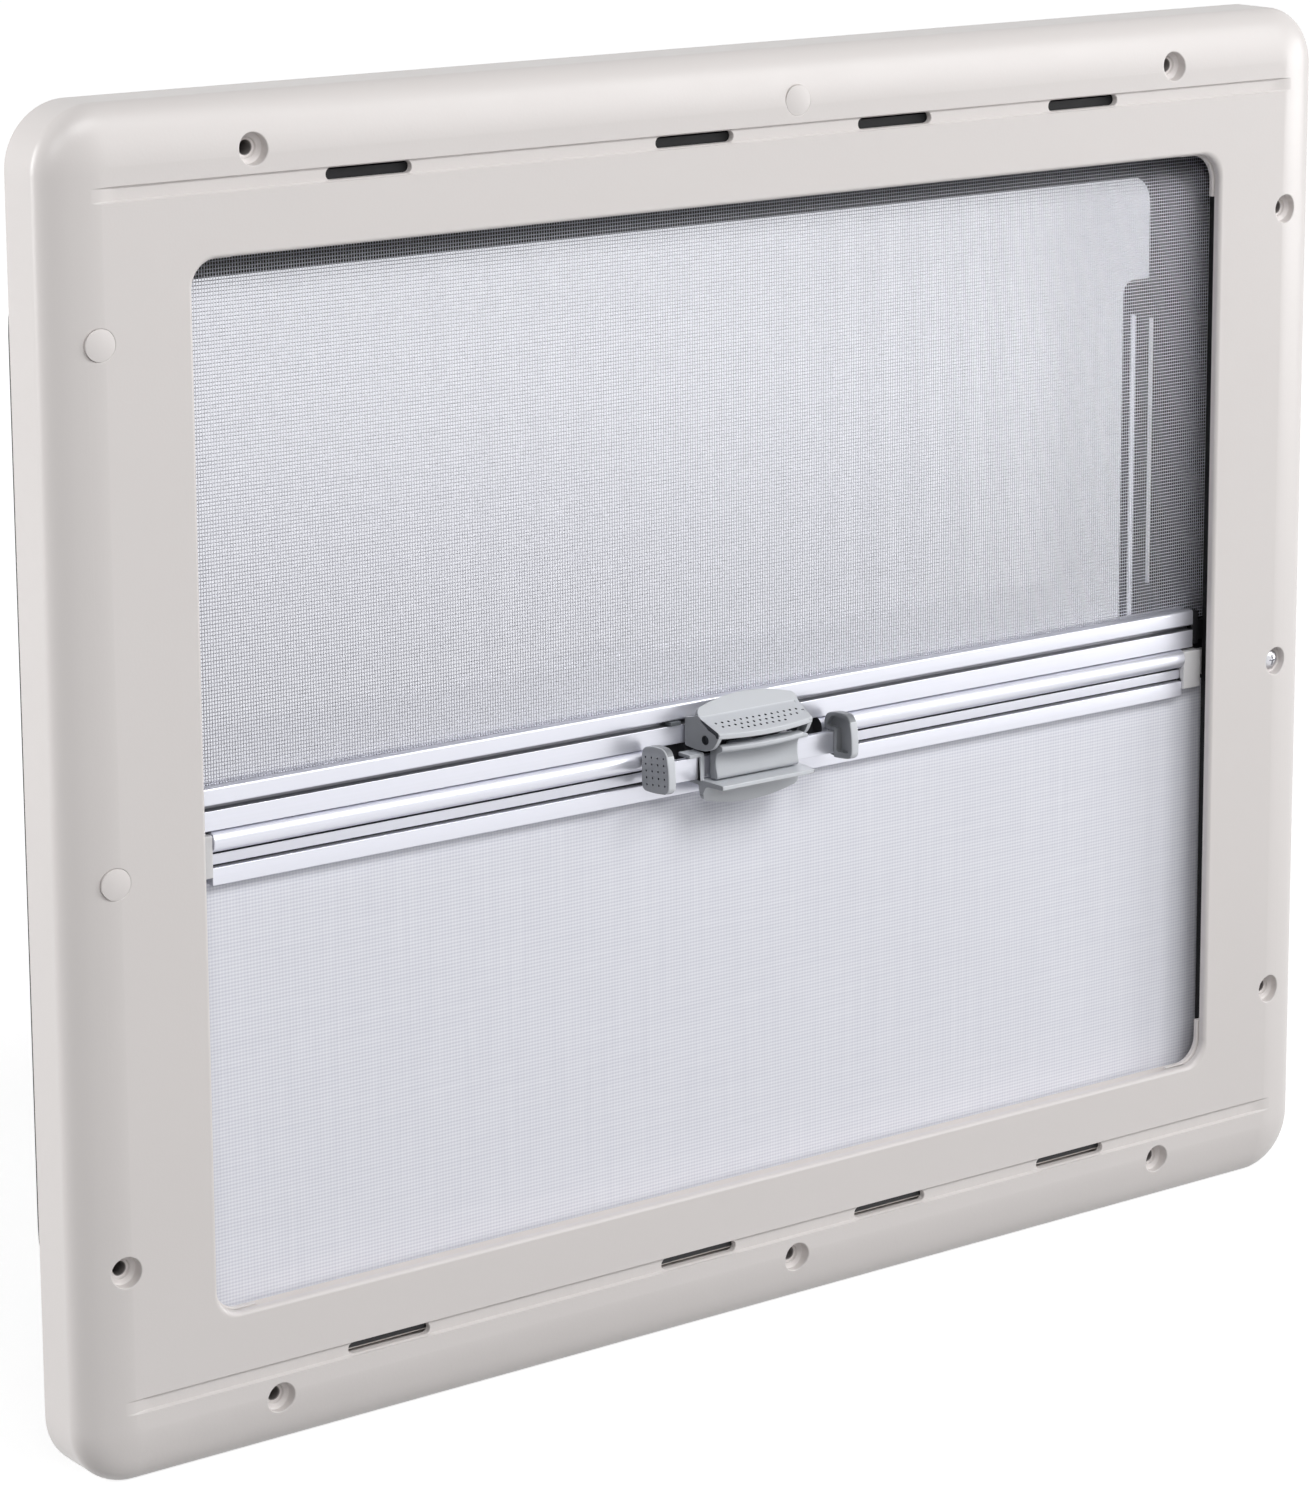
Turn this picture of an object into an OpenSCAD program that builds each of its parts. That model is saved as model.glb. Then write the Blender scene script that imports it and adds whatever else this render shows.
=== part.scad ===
// Hinged caravan window with its inner trim frame, pull-down flyscreen and pull-up blackout blind.
// X runs to the right as seen from the room, Y runs out through the wall, Z is up.
// The origin lies on the back face of the trim frame, in the middle of its lower rim.

/* [Wall cut-out] */
// Width of the cut-out in the wall
cutout_w = 600; // [560:10:700]
// Height of the cut-out in the wall
cutout_h = 500; // [470:10:600]
// Corner radius of the cut-out
cutout_r = 78; // [60:1:90]
// Thickness of the wall
wall_t = 27; // [24:1:36]

/* [Trim frame] */
// How far the trim frame laps over the wall
trim_overlap = 11; // [9:0.5:16]
// Depth of the trim frame
trim_depth = 30; // [28:0.5:36]
// Corner radius of the trim frame
trim_corner_r = 25; // [23:1:32]
// Height of its flat side wall
side_wall_h = 18.5; // [15:0.5:20]
// Width of its rounded front edge
edge_reach = 10.5; // [8:0.5:12]
// Width of the band between the outer edge and the flat face
slope_band = 22.8; // [20:0.2:24]
// How far the slope falls inside that band
slope_drop = 2.4; // [1.6:0.2:3]
// Width of the frame from its outer edge to the opening
border = 59; // [56:0.5:70]
// Corner radius of the opening
opening_r = 11; // [8:0.5:16]
// Thickness of the front plate
lip_t = 4; // [3:0.25:5]
// Radius of the rounded edge round the opening
lip_round = 1.7; // [1:0.1:2]
// Width of the solid rim round the back
rim_w = 29; // [27:0.5:30]

/* [Screw holes] */
// Pitch of the grid that the holes and vents stand on
grid = 50; // [46:0.5:52]
// Distance from a hole to the edge of the cut-out
hole_inset = 9.4; // [8.5:0.1:10.5]
// Radius of a screw hole
hole_r = 2.5; // [2:0.1:3]
// Radius of the counterbore
counterbore_r = 6.3; // [5.5:0.1:6.8]
// Depth of the counterbore
counterbore_depth = 5.2; // [4:0.2:8]
// Radius of the smaller step at its bottom
step_r = 3.9; // [3.4:0.1:4.2]
// Radius of a cap's dome
cap_r = 6; // [5:0.1:6.1]

/* [Vents] */
// Distance from the trim frame's edge to a vent groove's centre line
groove_inset = 32.3; // [31.5:0.1:34]
// Width of a vent groove
groove_w = 5.6; // [4:0.2:6]
// Depth of a vent groove
groove_depth = 1.2; // [0.6:0.1:2]
// Length of a vent slot
slot_len = 37.5; // [30:0.5:42]
// Width of a vent slot
slot_w = 4.8; // [3:0.2:5]

/* [Screen and blind] */
// Distance from the front of the trim frame to the face of the pull bars
bar_setback = 10; // [8.5:0.5:12]
// Depth of the pull bars
bar_depth = 10; // [8:0.5:12]
// Height of the flyscreen bar
screen_bar_h = 16.5; // [15:0.5:20]
// Height of the blind bar
blind_bar_h = 21; // [19:0.5:24]
// Height of the seam between the two bars, from the window's centre
seam_z = -14.7; // [-60:0.1:60]
// Thickness of the cloth
cloth_t = 0.8; // [0.6:0.1:1.2]
// Radius of the wound flyscreen
screen_roll_r = 5.5; // [4.5:0.25:6]
// Radius of the wound blind
blind_roll_r = 6; // [5:0.25:6]
// Wall of the roller cassettes
cassette_wall = 1.6; // [1.2:0.1:2]

/* [Catch] */
// Width of the lever at its pin
lever_w = 49; // [45:1:54]
// Angle at which the lever's sides draw in towards the front
lever_taper = 7; // [5:0.5:9]
// Distance from the pull bars to the front edge of the lever's shelf
shelf_reach = 24; // [22:0.5:26]
// Height of the lever's arched plate above the shelf
arch_h = 7; // [5.5:0.5:9]
// How far the arched plate leans back
arch_lean = 2.3; // [1:0.1:3]
// Thickness of the catch's mouldings
catch_t = 2; // [1.6:0.1:2.2]
// Radius of the lever's pin
pin_r = 1.5; // [1.2:0.1:1.8]
// Distance between the outer faces of the two grips
grips_span = 96; // [90:1:106]
// Width of a grip
grip_w = 3.8; // [3.4:0.2:5]
// Height of a grip
grip_h = 19.6; // [18:0.2:21]
// Distance from the pull bars to the front edge of a grip
grip_reach = 21; // [18:0.5:23]
// How far a grip slides inwards
grip_travel = 4; // [2:0.5:5]

/* [Pane and outer frame] */
// Clearance of the outer frame in the cut-out
cutout_gap = 3; // [1:0.25:4]
// Width of the outer frame's profile
outer_profile_w = 35; // [33:0.5:42]
// Extra height of that profile at the top and bottom
outer_extra_h = 22; // [16:1:26]
// Thickness of each acrylic sheet
sheet_t = 2.5; // [2:0.25:4]
// Air gap between the two sheets
sheet_gap = 3; // [2:0.25:5]
// Width of the rim of the outer frame round the pane
pane_rim = 8; // [6:0.5:12]
// Depth of the stay rails
stay_depth = 5; // [4:0.5:7]
// Width of the stay rails
stay_w = 20; // [17:0.5:24]

/* [Hidden] */
$fn = 48;

// Clearance between pieces that seat on each other
seat = 0.3;
// Clearance at the pin
pin_gap = 0.05;
// A cutter runs this far past the face that it cuts
over = 1;

trim_w = cutout_w + 2 * trim_overlap;
trim_h = cutout_h + 2 * trim_overlap;
opening_w = trim_w - 2 * border;
opening_h = trim_h - 2 * border;
pocket_w = trim_w - 2 * rim_w;
pocket_h = trim_h - 2 * rim_w;
pocket_r = 6;
front_y = -trim_depth;
pocket_y = front_y + lip_t;
hole_x = cutout_w / 2 - hole_inset;
hole_z = cutout_h / 2 - hole_inset;
centre_z = trim_h / 2 - trim_overlap / 2;
rise_limit = floor((cutout_h / 2 - cutout_r) / grid + 0.06);
run_limit = floor((cutout_w / 2 - cutout_r) / grid + 0.06);
groove_z = trim_h / 2 - groove_inset;
groove_half = trim_w / 2 - 19;

bar_y = front_y + bar_setback;
cloth_y = bar_y + bar_depth / 2;
screen_bar_top = seam_z + screen_bar_h;
blind_bar_bottom = seam_z - seat - blind_bar_h;
bar_half = opening_w / 2 - 2;
guide_in = opening_w / 2 + 6;
guide_out = pocket_w / 2 - 8;
cassette_h = 26;
lip_hide = 2;
cassette_z = opening_h / 2 + lip_hide;
roller_z = cassette_z + cassette_h / 2;
cassette_y0 = pocket_y + seat;
cassette_y1 = -2 * seat;
cassette_half = pocket_w / 2 - 4;
guide_slot = 4.4;
guide_slot_depth = 9;
cloth_half = guide_in + guide_slot_depth - 2;

arch_y = bar_y - 10.3;
shelf_y = bar_y - shelf_reach;
shelf_z = screen_bar_top - 4.6;
pin_y = bar_y - 13.5;
pin_z = screen_bar_top - 13;
tray_z = blind_bar_bottom + 7.6;

outer_w = cutout_w - 2 * cutout_gap;
outer_h = cutout_h - 2 * cutout_gap;
outer_r = cutout_r - cutout_gap;
outer_y0 = 0;
outer_y1 = wall_t;
ring_in_w = outer_w - 2 * outer_profile_w;
ring_in_h = outer_h - 2 * (outer_profile_w + outer_extra_h);
ring_in_r = 14;
pane_w = outer_w - 2 * pane_rim;
pane_h = outer_h - 2 * pane_rim;
pane_r = outer_r - pane_rim;
pane_y = wall_t - sheet_t - sheet_gap + 0.5;
seal_t = 2.2;
seal_lap = 3;

// Outline of a rectangle with round corners, centred
module rounded(w, h, r) {
    square([w - 2 * r, h], center = true);
    square([w, h - 2 * r], center = true);
    for (sx = [-1, 1], sz = [-1, 1])
        translate([sx * (w / 2 - r), sz * (h / 2 - r)]) circle(r);
}

// A plate with round corners from depth y0 to depth y1, round the window's centre
module plate(w, h, r, y0, y1) {
    translate([0, y1, 0]) rotate([90, 0, 0]) linear_extrude(y1 - y0) rounded(w, h, r);
}

// A box from one corner to the other, in places from the window's centre
module box(x0, y0, z0, x1, y1, z1) {
    translate([x0, y0, z0]) cube([x1 - x0, y1 - y0, z1 - z0]);
}

// A round bar along Y
module round_y(r, x, z, y0, y1) {
    translate([x, y1, z]) rotate([90, 0, 0]) cylinder(r = r, h = y1 - y0);
}

// A round bar along X
module round_x(r, y, z, x0, x1) {
    translate([x0, y, z]) rotate([0, 90, 0]) cylinder(r = r, h = x1 - x0);
}

// A profile drawn in Y and Z, carried along X from x0 to x1
module along_x(x0, x1) {
    translate([x0, 0, 0]) rotate([90, 0, 90]) linear_extrude(x1 - x0) children();
}

module at_centre() {
    translate([0, 0, centre_z]) children();
}

// Places of the screw holes: [x, z] from the window's centre
top_holes = [for (k = [-run_limit - 0.5, 0.5, run_limit + 0.5]) k * grid];
side_holes = [for (k = [-rise_limit - 0.5, -0.5, rise_limit + 0.5]) k * grid];
holes = concat(
    [for (x = top_holes, s = [-1, 1]) [x, s * hole_z]],
    [for (z = side_holes, s = [-1, 1]) [s * hole_x, z]]);
vents = [for (k = [-run_limit + 0.5, -0.5, 1.5, run_limit - 0.5]) k * grid];

// Front edge of the trim frame as points [distance from the corner's centre, height]: a side wall,
// a quarter of an ellipse over the rounded edge, and a slope that eases into the flat face
ease = 1.5;
ellipse_steps = 9;
slope_steps = 7;
shoulder_h = trim_depth - slope_drop;
shoulder_rise = shoulder_h - side_wall_h;
slope_run = slope_band - edge_reach;
end_slope = ease * slope_drop / slope_run * edge_reach / shoulder_rise;
ellipse_end = acos(end_slope / (1 - end_slope));
edge_points = concat(
    [[0, 0], [trim_corner_r, 0]],
    [for (i = [0:ellipse_steps])
        let (a = i * ellipse_end / ellipse_steps)
        [trim_corner_r - edge_reach * (1 - cos(a)) / (1 - cos(ellipse_end)),
            side_wall_h + shoulder_rise * sin(a) / sin(ellipse_end)]],
    [for (i = [1:slope_steps])
        let (left = 1 - i / slope_steps)
        [trim_corner_r - slope_band + left * slope_run, trim_depth - slope_drop * pow(left, ease)]],
    [[0, trim_depth]]);

// Cutter for the rounded edge round the opening
lip_steps = 5;
lip_points = concat(
    [[opening_r - over, trim_depth + over], [opening_r - over, trim_depth - lip_round]],
    [for (i = [0:lip_steps])
        let (a = i * 90 / lip_steps)
        [opening_r + lip_round * (1 - cos(a)), trim_depth - lip_round * (1 - sin(a))]],
    [[opening_r + lip_round, trim_depth + over]]);

// Carries points [distance from the corner's centre, height] round a rectangle with round corners
module carried_round(w, h, r, points) {
    half_w = w / 2 - r;
    half_h = h / 2 - r;
    for (a = [0, 180]) {
        rotate([0, a, 0]) translate([half_w, 0, -half_h])
            linear_extrude(2 * half_h) mirror([0, 1]) polygon(points);
        rotate([0, a + 90, 0]) translate([half_h, 0, -half_w])
            linear_extrude(2 * half_w) mirror([0, 1]) polygon(points);
    }
    for (mx = [0, 1], mz = [0, 1])
        mirror([mx, 0, 0]) mirror([0, 0, mz]) translate([half_w, 0, half_h])
            rotate([90, 0, 0]) rotate_extrude(angle = 90) polygon(points);
}

module trim_body() {
    half_w = trim_w / 2 - trim_corner_r;
    half_h = trim_h / 2 - trim_corner_r;
    box(-half_w, -trim_depth, -half_h, half_w, 0, half_h);
    carried_round(trim_w, trim_h, trim_corner_r, edge_points);
}

step_depth = 1.3;
module slot_cut(x, z) {
    translate([x, pocket_y + over, z]) rotate([90, 0, 0]) linear_extrude(lip_t + 2 * over)
        rounded(slot_len, slot_w, slot_w / 2 - 0.05);
}

module trim_frame() color([0.86, 0.84, 0.83]) at_centre() difference() {
    trim_body();
    plate(cutout_w, cutout_h, cutout_r, -seat, over);
    plate(pocket_w, pocket_h, pocket_r, pocket_y, over);
    plate(opening_w, opening_h, opening_r, front_y - over, over);
    carried_round(opening_w, opening_h, opening_r, lip_points);
    for (s = [-1, 1]) {
        translate([0, front_y + groove_depth, s * groove_z]) rotate([90, 0, 0])
            linear_extrude(groove_depth + over) square([2 * groove_half, groove_w], center = true);
        for (x = vents) slot_cut(x, s * groove_z);
    }
    for (h = holes) {
        round_y(hole_r, h[0], h[1], front_y - over, over);
        round_y(counterbore_r, h[0], h[1], front_y - over, front_y + counterbore_depth);
        round_y(step_r, h[0], h[1], front_y - over, front_y + counterbore_depth + step_depth);
    }
}

// A domed cap whose stem plugs the screw hole below it
module cap(x, z) {
    dome_r = 26;
    dome_y = front_y + 1;
    round_y(hole_r - 0.2, x, z, front_y + counterbore_depth - 0.5, front_y + counterbore_depth + 7);
    intersection() {
        translate([x, dome_y - 1.6 + dome_r, z]) sphere(dome_r, $fn = 96);
        round_y(cap_r, x, z, front_y - 3, front_y + counterbore_depth);
    }
}

module cap_top() color([0.9, 0.88, 0.87]) at_centre() cap(top_holes[1], hole_z);
module cap_left_upper() color([0.9, 0.88, 0.87]) at_centre() cap(-hole_x, side_holes[2]);
module cap_left_middle() color([0.9, 0.88, 0.87]) at_centre() cap(-hole_x, side_holes[1]);

// The screw has its head in the counterbore and its shank in the outer frame
module fixing_screw() color([0.75, 0.76, 0.78]) at_centre() {
    head_r = 4.2;
    seat_y = front_y + counterbore_depth;
    x = hole_x;
    z = side_holes[1];
    difference() {
        intersection() {
            translate([x, seat_y - 2.8 + 6, z]) sphere(6, $fn = 64);
            round_y(head_r, x, z, seat_y - 3, seat_y);
        }
        box(x - 2.2, seat_y - 4, z - 0.4, x + 2.2, seat_y - 1.4, z + 0.4);
        box(x - 0.4, seat_y - 4, z - 2.2, x + 0.4, seat_y - 1.4, z + 2.2);
    }
    round_y(hole_r - 0.4, x, z, seat_y - 0.5, outer_y0 + 14);
}

// Blocks that join the guides and cassettes behind each corner of the opening
module corner_blocks() color([0.84, 0.83, 0.82]) at_centre() {
    reach = 19;
    show = 0.7;
    wall = 5;
    depth = 2.4;
    intersection() {
        difference() {
            plate(opening_w + 2 * wall, opening_h - 0.2, opening_r, pocket_y + 0.1, pocket_y + depth);
            plate(opening_w - 2 * show, opening_h - 2 * show, opening_r, pocket_y - over, 0);
        }
        for (sx = [-1, 1], sz = [-1, 1])
            translate([sx * opening_w / 2, -15, sz * opening_h / 2])
                cube([2 * reach, 60, 2 * reach], center = true);
    }
}

// Cassette: a channel that opens towards the window through a mouth for the cloth
module cassette() {
    w = cassette_wall;
    mouth = 5;
    difference() {
        box(-cassette_half, cassette_y0, cassette_z, cassette_half, cassette_y1,
            cassette_z + cassette_h);
        box(-cassette_half + w, cassette_y0 + w, cassette_z + w, cassette_half - w,
            cassette_y1 - w, cassette_z + cassette_h - w);
        box(-cassette_half + w, cloth_y - mouth / 2, cassette_z - over, cassette_half - w,
            cloth_y + mouth / 2, cassette_z + w + over);
    }
}

module screen_cassette() color([0.2, 0.2, 0.21]) at_centre() cassette();
module blind_cassette() color([0.8, 0.79, 0.75]) at_centre() mirror([0, 0, 1]) cassette();

// A roller lies so that the cloth leaves it in the plane of the pull bars
module roller(r) {
    round_x(r, cloth_y + cloth_t / 2 + r, roller_z, -cassette_half + cassette_wall + seat,
        cassette_half - cassette_wall - seat);
}

module screen_roller() color([0.5, 0.5, 0.52]) at_centre() roller(screen_roll_r);
module blind_roller() color([0.88, 0.88, 0.92]) at_centre() mirror([0, 0, 1]) roller(blind_roll_r);

// Guide: a channel whose slot takes the cloth's edge and the ends of the bars
module guide() {
    z = cassette_z - seat;
    difference() {
        box(guide_in, pocket_y + seat, -z, guide_out, cassette_y1, z);
        box(guide_in - over, cloth_y - guide_slot / 2, -z - over, guide_in + guide_slot_depth,
            cloth_y + guide_slot / 2, z + over);
    }
}

module guide_right() color([0.13, 0.13, 0.14]) at_centre() guide();
module guide_left() color([0.13, 0.13, 0.14]) at_centre() mirror([1, 0, 0]) guide();

module flyscreen() color([0.6, 0.6, 0.63]) at_centre()
    box(-cloth_half, cloth_y - cloth_t / 2, screen_bar_top - 5, cloth_half,
        cloth_y + cloth_t / 2, roller_z);

module blackout_blind() color([0.9, 0.9, 0.93]) at_centre()
    box(-cloth_half, cloth_y - cloth_t / 2, -roller_z, cloth_half,
        cloth_y + cloth_t / 2, blind_bar_bottom + 5);

// Section of the flyscreen bar: a flat front with one groove, and a slot on top for the cloth
module screen_bar_section() difference() {
    translate([bar_y, seam_z]) square([bar_depth, screen_bar_h]);
    translate([bar_y - over, seam_z + 7.7]) square([4 + over, 2]);
    translate([cloth_y - cloth_t / 2 - seat / 2, screen_bar_top - 5.2])
        square([cloth_t + seat, 6]);
}

module screen_bar() color([0.83, 0.84, 0.87]) at_centre()
    along_x(-bar_half, bar_half) screen_bar_section();

// Section of the blind bar: a rounded nose, a sunk strip and a lower flange
nose_r = 4.2;
strip_h = 5;
module blind_bar_section() difference() {
    top = seam_z - seat;
    union() {
        translate([bar_y, blind_bar_bottom]) square([bar_depth, blind_bar_h]);
        translate([bar_y + nose_r - 2, top - nose_r]) circle(nose_r);
    }
    translate([bar_y - over, top - 2 * nose_r - strip_h]) square([1.6 + over, strip_h]);
    translate([bar_y - over, top - 2 * nose_r - strip_h - 0.8]) square([3.2 + over, 0.8]);
    translate([bar_y - over, top - 2 * nose_r - 0.5]) square([3.2 + over, 0.6]);
    translate([cloth_y - cloth_t / 2 - seat / 2, blind_bar_bottom - 0.8])
        square([cloth_t + seat, 6]);
}

blind_bar_half = bar_half - 6;
module blind_bar() color([0.83, 0.84, 0.87]) at_centre()
    along_x(-blind_bar_half, blind_bar_half) blind_bar_section();

// End pieces of the bars, each with a tongue that runs in the slot of its guide
tongue_y0 = cloth_y - guide_slot / 2 + seat;
tongue_y1 = cloth_y + guide_slot / 2 - seat;
module glider() {
    front = cloth_y - cloth_t / 2 - seat;
    tongue_top = screen_bar_top - 6;
    box(bar_half + seat / 2, bar_y + 1, seam_z + 1, bar_half + 4, front, screen_bar_top - 1);
    box(bar_half + 3, tongue_y0, seam_z + 2, cloth_half, tongue_y1, tongue_top);
}

module screen_glider_right() color([0.1, 0.1, 0.1]) at_centre() glider();
module screen_glider_left() color([0.1, 0.1, 0.1]) at_centre() mirror([1, 0, 0]) glider();

module blind_end() {
    front = cloth_y - cloth_t / 2 - seat;
    box(blind_bar_half + seat / 2, bar_y - 1, seam_z - 18, bar_half + 4, front, seam_z - 1.5);
    box(bar_half + 3, tongue_y0, seam_z - 14, cloth_half, tongue_y1, seam_z - 3);
}

module blind_end_right() color([0.85, 0.84, 0.83]) at_centre() blind_end();
module blind_end_left() color([0.85, 0.84, 0.83]) at_centre() mirror([1, 0, 0]) blind_end();

// Base on the flyscreen bar, with two lugs that carry the lever's pin
cheek_x = lever_w / 2;
back_gap = 1.6;
lug_t = 1.6;
lug_front = pin_y - 2.6;
lug_out = cheek_x - (pin_y - lug_front) * tan(lever_taper) - catch_t - seat;
module catch_base() color([0.36, 0.38, 0.4]) at_centre() {
    for (s = [-1, 1]) difference() {
        along_x(s * (lug_out - lug_t / 2) - lug_t / 2, s * (lug_out - lug_t / 2) + lug_t / 2)
            polygon([[bar_y - seat, seam_z + 0.5], [pin_y + 1, pin_z - 2.8], [pin_y - 1.2, pin_z - 2.8],
                [lug_front, pin_z - 1], [lug_front, pin_z + 1], [pin_y - 1, pin_z + 2.6],
                [bar_y - seat, shelf_z - 3]]);
        round_x(pin_r + pin_gap, pin_y, pin_z, -cheek_x - over, cheek_x + over);
    }
    box(-lug_out, bar_y - 2.4, seam_z + 1, lug_out, bar_y - seat, seam_z + 7);
}

module catch_pin() color([0.7, 0.71, 0.73]) at_centre()
    round_x(pin_r, pin_y, pin_z, -cheek_x + 0.8, cheek_x - 0.8);

// Plan of the lever and of the tray: sides that draw in towards the front, at a distance in from them
module tapered_plan(in, y_front) {
    y_back = bar_y - seat;
    wide = cheek_x + (y_back - pin_y) * tan(lever_taper) - in;
    narrow = cheek_x + (y_front - pin_y) * tan(lever_taper) - in;
    polygon([[-wide, y_back], [wide, y_back], [narrow, y_front], [-narrow, y_front]]);
}

// The tapered plan as a prism between two heights
module tapered(in, y_front, z0, z1) {
    translate([0, 0, z0]) linear_extrude(z1 - z0) tapered_plan(in, y_front);
}

// Outline of an arched plate seen from the front: an arc of this height whose ends are rounded
arch_r = 77;
module arched(half, h) {
    end_r = 4.5;
    shoulder = h - (half - end_r) * (half - end_r) / (2 * arch_r);
    intersection() {
        translate([0, h - arch_r]) circle(arch_r, $fn = 128);
        union() {
            translate([-half + end_r, -h]) square([2 * (half - end_r), 2 * h + over]);
            translate([0, shoulder - h]) rounded(2 * half, 2 * h, end_r);
        }
    }
}

// Section of the lever: a sloping shelf whose back curves up into a plate that leans back
shelf_slope = 0.2;
module lever_section() {
    y0 = shelf_y - 2;
    y1 = arch_y - 3.7;
    z1 = shelf_z - 2.2;
    z0 = z1 - shelf_slope * (y1 - y0);
    top = shelf_z + arch_h + over;
    polygon([[y0, z0], [y1, z1], [arch_y - 1.6, shelf_z - 1.5], [arch_y - 0.4, shelf_z - 0.3],
        [arch_y, shelf_z + 0.8], [arch_y + arch_lean, top], [arch_y + arch_lean + catch_t, top],
        [arch_y + catch_t, shelf_z - 1], [arch_y + 1, shelf_z - 2.6], [y1, z1 - catch_t],
        [y0, z0 - catch_t]]);
}

// Side of the lever, from the bar round the pin to the front edge of the shelf
cheek_points = [[bar_y - back_gap, shelf_z - 0.4], [arch_y + catch_t, shelf_z], [arch_y - 0.6, shelf_z - 0.6],
    [arch_y - 3.7, shelf_z - 2.3], [shelf_y + 2.4, shelf_z - 3.7], [shelf_y + 2.2, shelf_z - 6],
    [pin_y - 6.2, pin_z], [pin_y - 4.2, pin_z - 2.8], [pin_y - 2, pin_z - 4.2], [pin_y + 0.6, pin_z - 4.9],
    [pin_y + 5, pin_z - 5.1], [bar_y - back_gap, pin_z - 4.1]];

dot_r = 0.35;
dot_pitch = 3.13;
module catch_lever() color([0.78, 0.79, 0.8]) at_centre() difference() {
    union() {
        intersection() {
            along_x(-lever_w, lever_w) lever_section();
            tapered(0, shelf_y - 2, shelf_z - 12, shelf_z + arch_h + over);
            translate([0, shelf_y + front_r, shelf_z - 12])
                cylinder(r = front_r, h = 12 + arch_h + over, $fn = 180);
            translate([0, bar_y, shelf_z]) rotate([90, 0, 0]) linear_extrude(shelf_reach + over)
                union() {
                    arched(cheek_x + 0.4, arch_h);
                    translate([-lever_w, -12]) square([2 * lever_w, 12]);
                }
        }
        intersection() {
            along_x(-lever_w, lever_w) polygon(cheek_points);
            difference() {
                tapered(0, shelf_y, shelf_z - 20, shelf_z + over);
                tapered(catch_t, shelf_y - over, shelf_z - 21, shelf_z + 2 * over);
            }
        }
    }
    round_x(pin_r + pin_gap, pin_y, pin_z, -lever_w, lever_w);
    for (row = [0:2], k = [(row < 2 ? -6.5 : -3.5):(row < 2 ? 6.5 : 3.5)])
        translate([k * dot_pitch, arch_y - 4.7 - row * 2.6, shelf_z - 3 - row * 0.5])
            cylinder(r = dot_r, h = 2, $fn = 16);
}

// Front edges of the shelf and of the block's lip bulge on this radius
front_r = 125;

// Strips of the grips: where they run, with the block in front of them
block_half = 20;
web_half = 6;
strip_y0 = bar_y - 8.8;
strip_y1 = strip_y0 + 2.8;
strip_z0 = tray_z + seat;
strip_z1 = strip_z0 + 9.1;
strip_in = web_half + 2 + grip_travel;

// Block below the lever: a lip along its top, a hollow front, and a web that holds it to the bar
module catch_block() color([0.7, 0.72, 0.73]) at_centre() {
    hollow_r = 12;
    lip_half = block_half + 1;
    lip_y = shelf_y + 1;
    lip_z = pin_z - 1.2;
    face_y = bar_y - 15.8;
    back_y = strip_y0 - seat - 2.4;
    foot_z = tray_z + 0.6;
    difference() {
        along_x(-block_half, block_half)
            polygon([[face_y - 1.2, lip_z], [back_y, lip_z - 3.6], [back_y, foot_z],
                [face_y - 0.2, foot_z], [face_y - 1.2, foot_z + 1], [face_y - 1.6, foot_z + 2]]);
        translate([0, face_y - hollow_r, (lip_z + foot_z) / 2 - 1])
            rotate([0, 90, 0]) cylinder(r = hollow_r, h = 60, center = true, $fn = 96);
    }
    intersection() {
        along_x(-lip_half, lip_half)
            polygon([[lip_y - 1, lip_z - 1.7], [lip_y - 1, lip_z], [lug_front - seat, lip_z],
                [lug_front - seat, lip_z - 2.6], [face_y - 2, lip_z - 3]]);
        translate([0, lip_y + front_r, lip_z - 5]) cylinder(r = front_r, h = 10, $fn = 180);
    }
    box(-web_half, back_y - 0.1, foot_z, web_half, bar_y - 2.2 - seat, lip_z - 4);
}

// Tray on the blind bar: a shelf with an arched plate below it, and at each end a wall with a
// flange, through which the strip of a grip slides
module catch_tray() color([0.7, 0.72, 0.73]) at_centre() difference() {
    wall_out = block_half + 4.6;
    wall_y0 = strip_y0 - 1.7;
    wall_y1 = bar_y - 2.2 - seat;
    wall_top = strip_z1 + seat + 1.6;
    flange = 5.4;
    front = shelf_y + 0.6;
    low = 11.8;
    union() {
        intersection() {
            along_x(-lever_w, lever_w)
                polygon([[bar_y - seat, tray_z], [front, tray_z], [front, tray_z - 1.8],
                    [arch_y - 0.8, tray_z - 3.6], [arch_y, tray_z - 4.4],
                    [arch_y + arch_lean, tray_z - low - over], [arch_y + arch_lean + catch_t, tray_z - low - over],
                    [arch_y + catch_t, tray_z - catch_t], [bar_y - seat, tray_z - catch_t]]);
            tapered(0, front - over, tray_z - low - over, tray_z + over);
            translate([0, bar_y + over, tray_z]) rotate([90, 0, 0]) linear_extrude(shelf_reach + 2 * over)
                mirror([0, 1]) union() {
                    arched(cheek_x + 0.4, low);
                    translate([-lever_w, -over]) square([2 * lever_w, over + 4.4]);
                }
        }
        for (s = [-1, 1]) {
            box(s * (wall_out - 1) - 1, wall_y0, tray_z - 0.1, s * (wall_out - 1) + 1, wall_y1, wall_top);
            box(s * (wall_out + flange / 2 - 0.1) - flange / 2, wall_y0, wall_top - 1.6,
                s * (wall_out + flange / 2 - 0.1) + flange / 2, wall_y1, wall_top);
        }
    }
    for (s = [-1, 1])
        box(s * wall_out - 5, strip_y0 - seat, tray_z, s * wall_out + 5, strip_y1 + seat, strip_z1 + seat);
}

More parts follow.
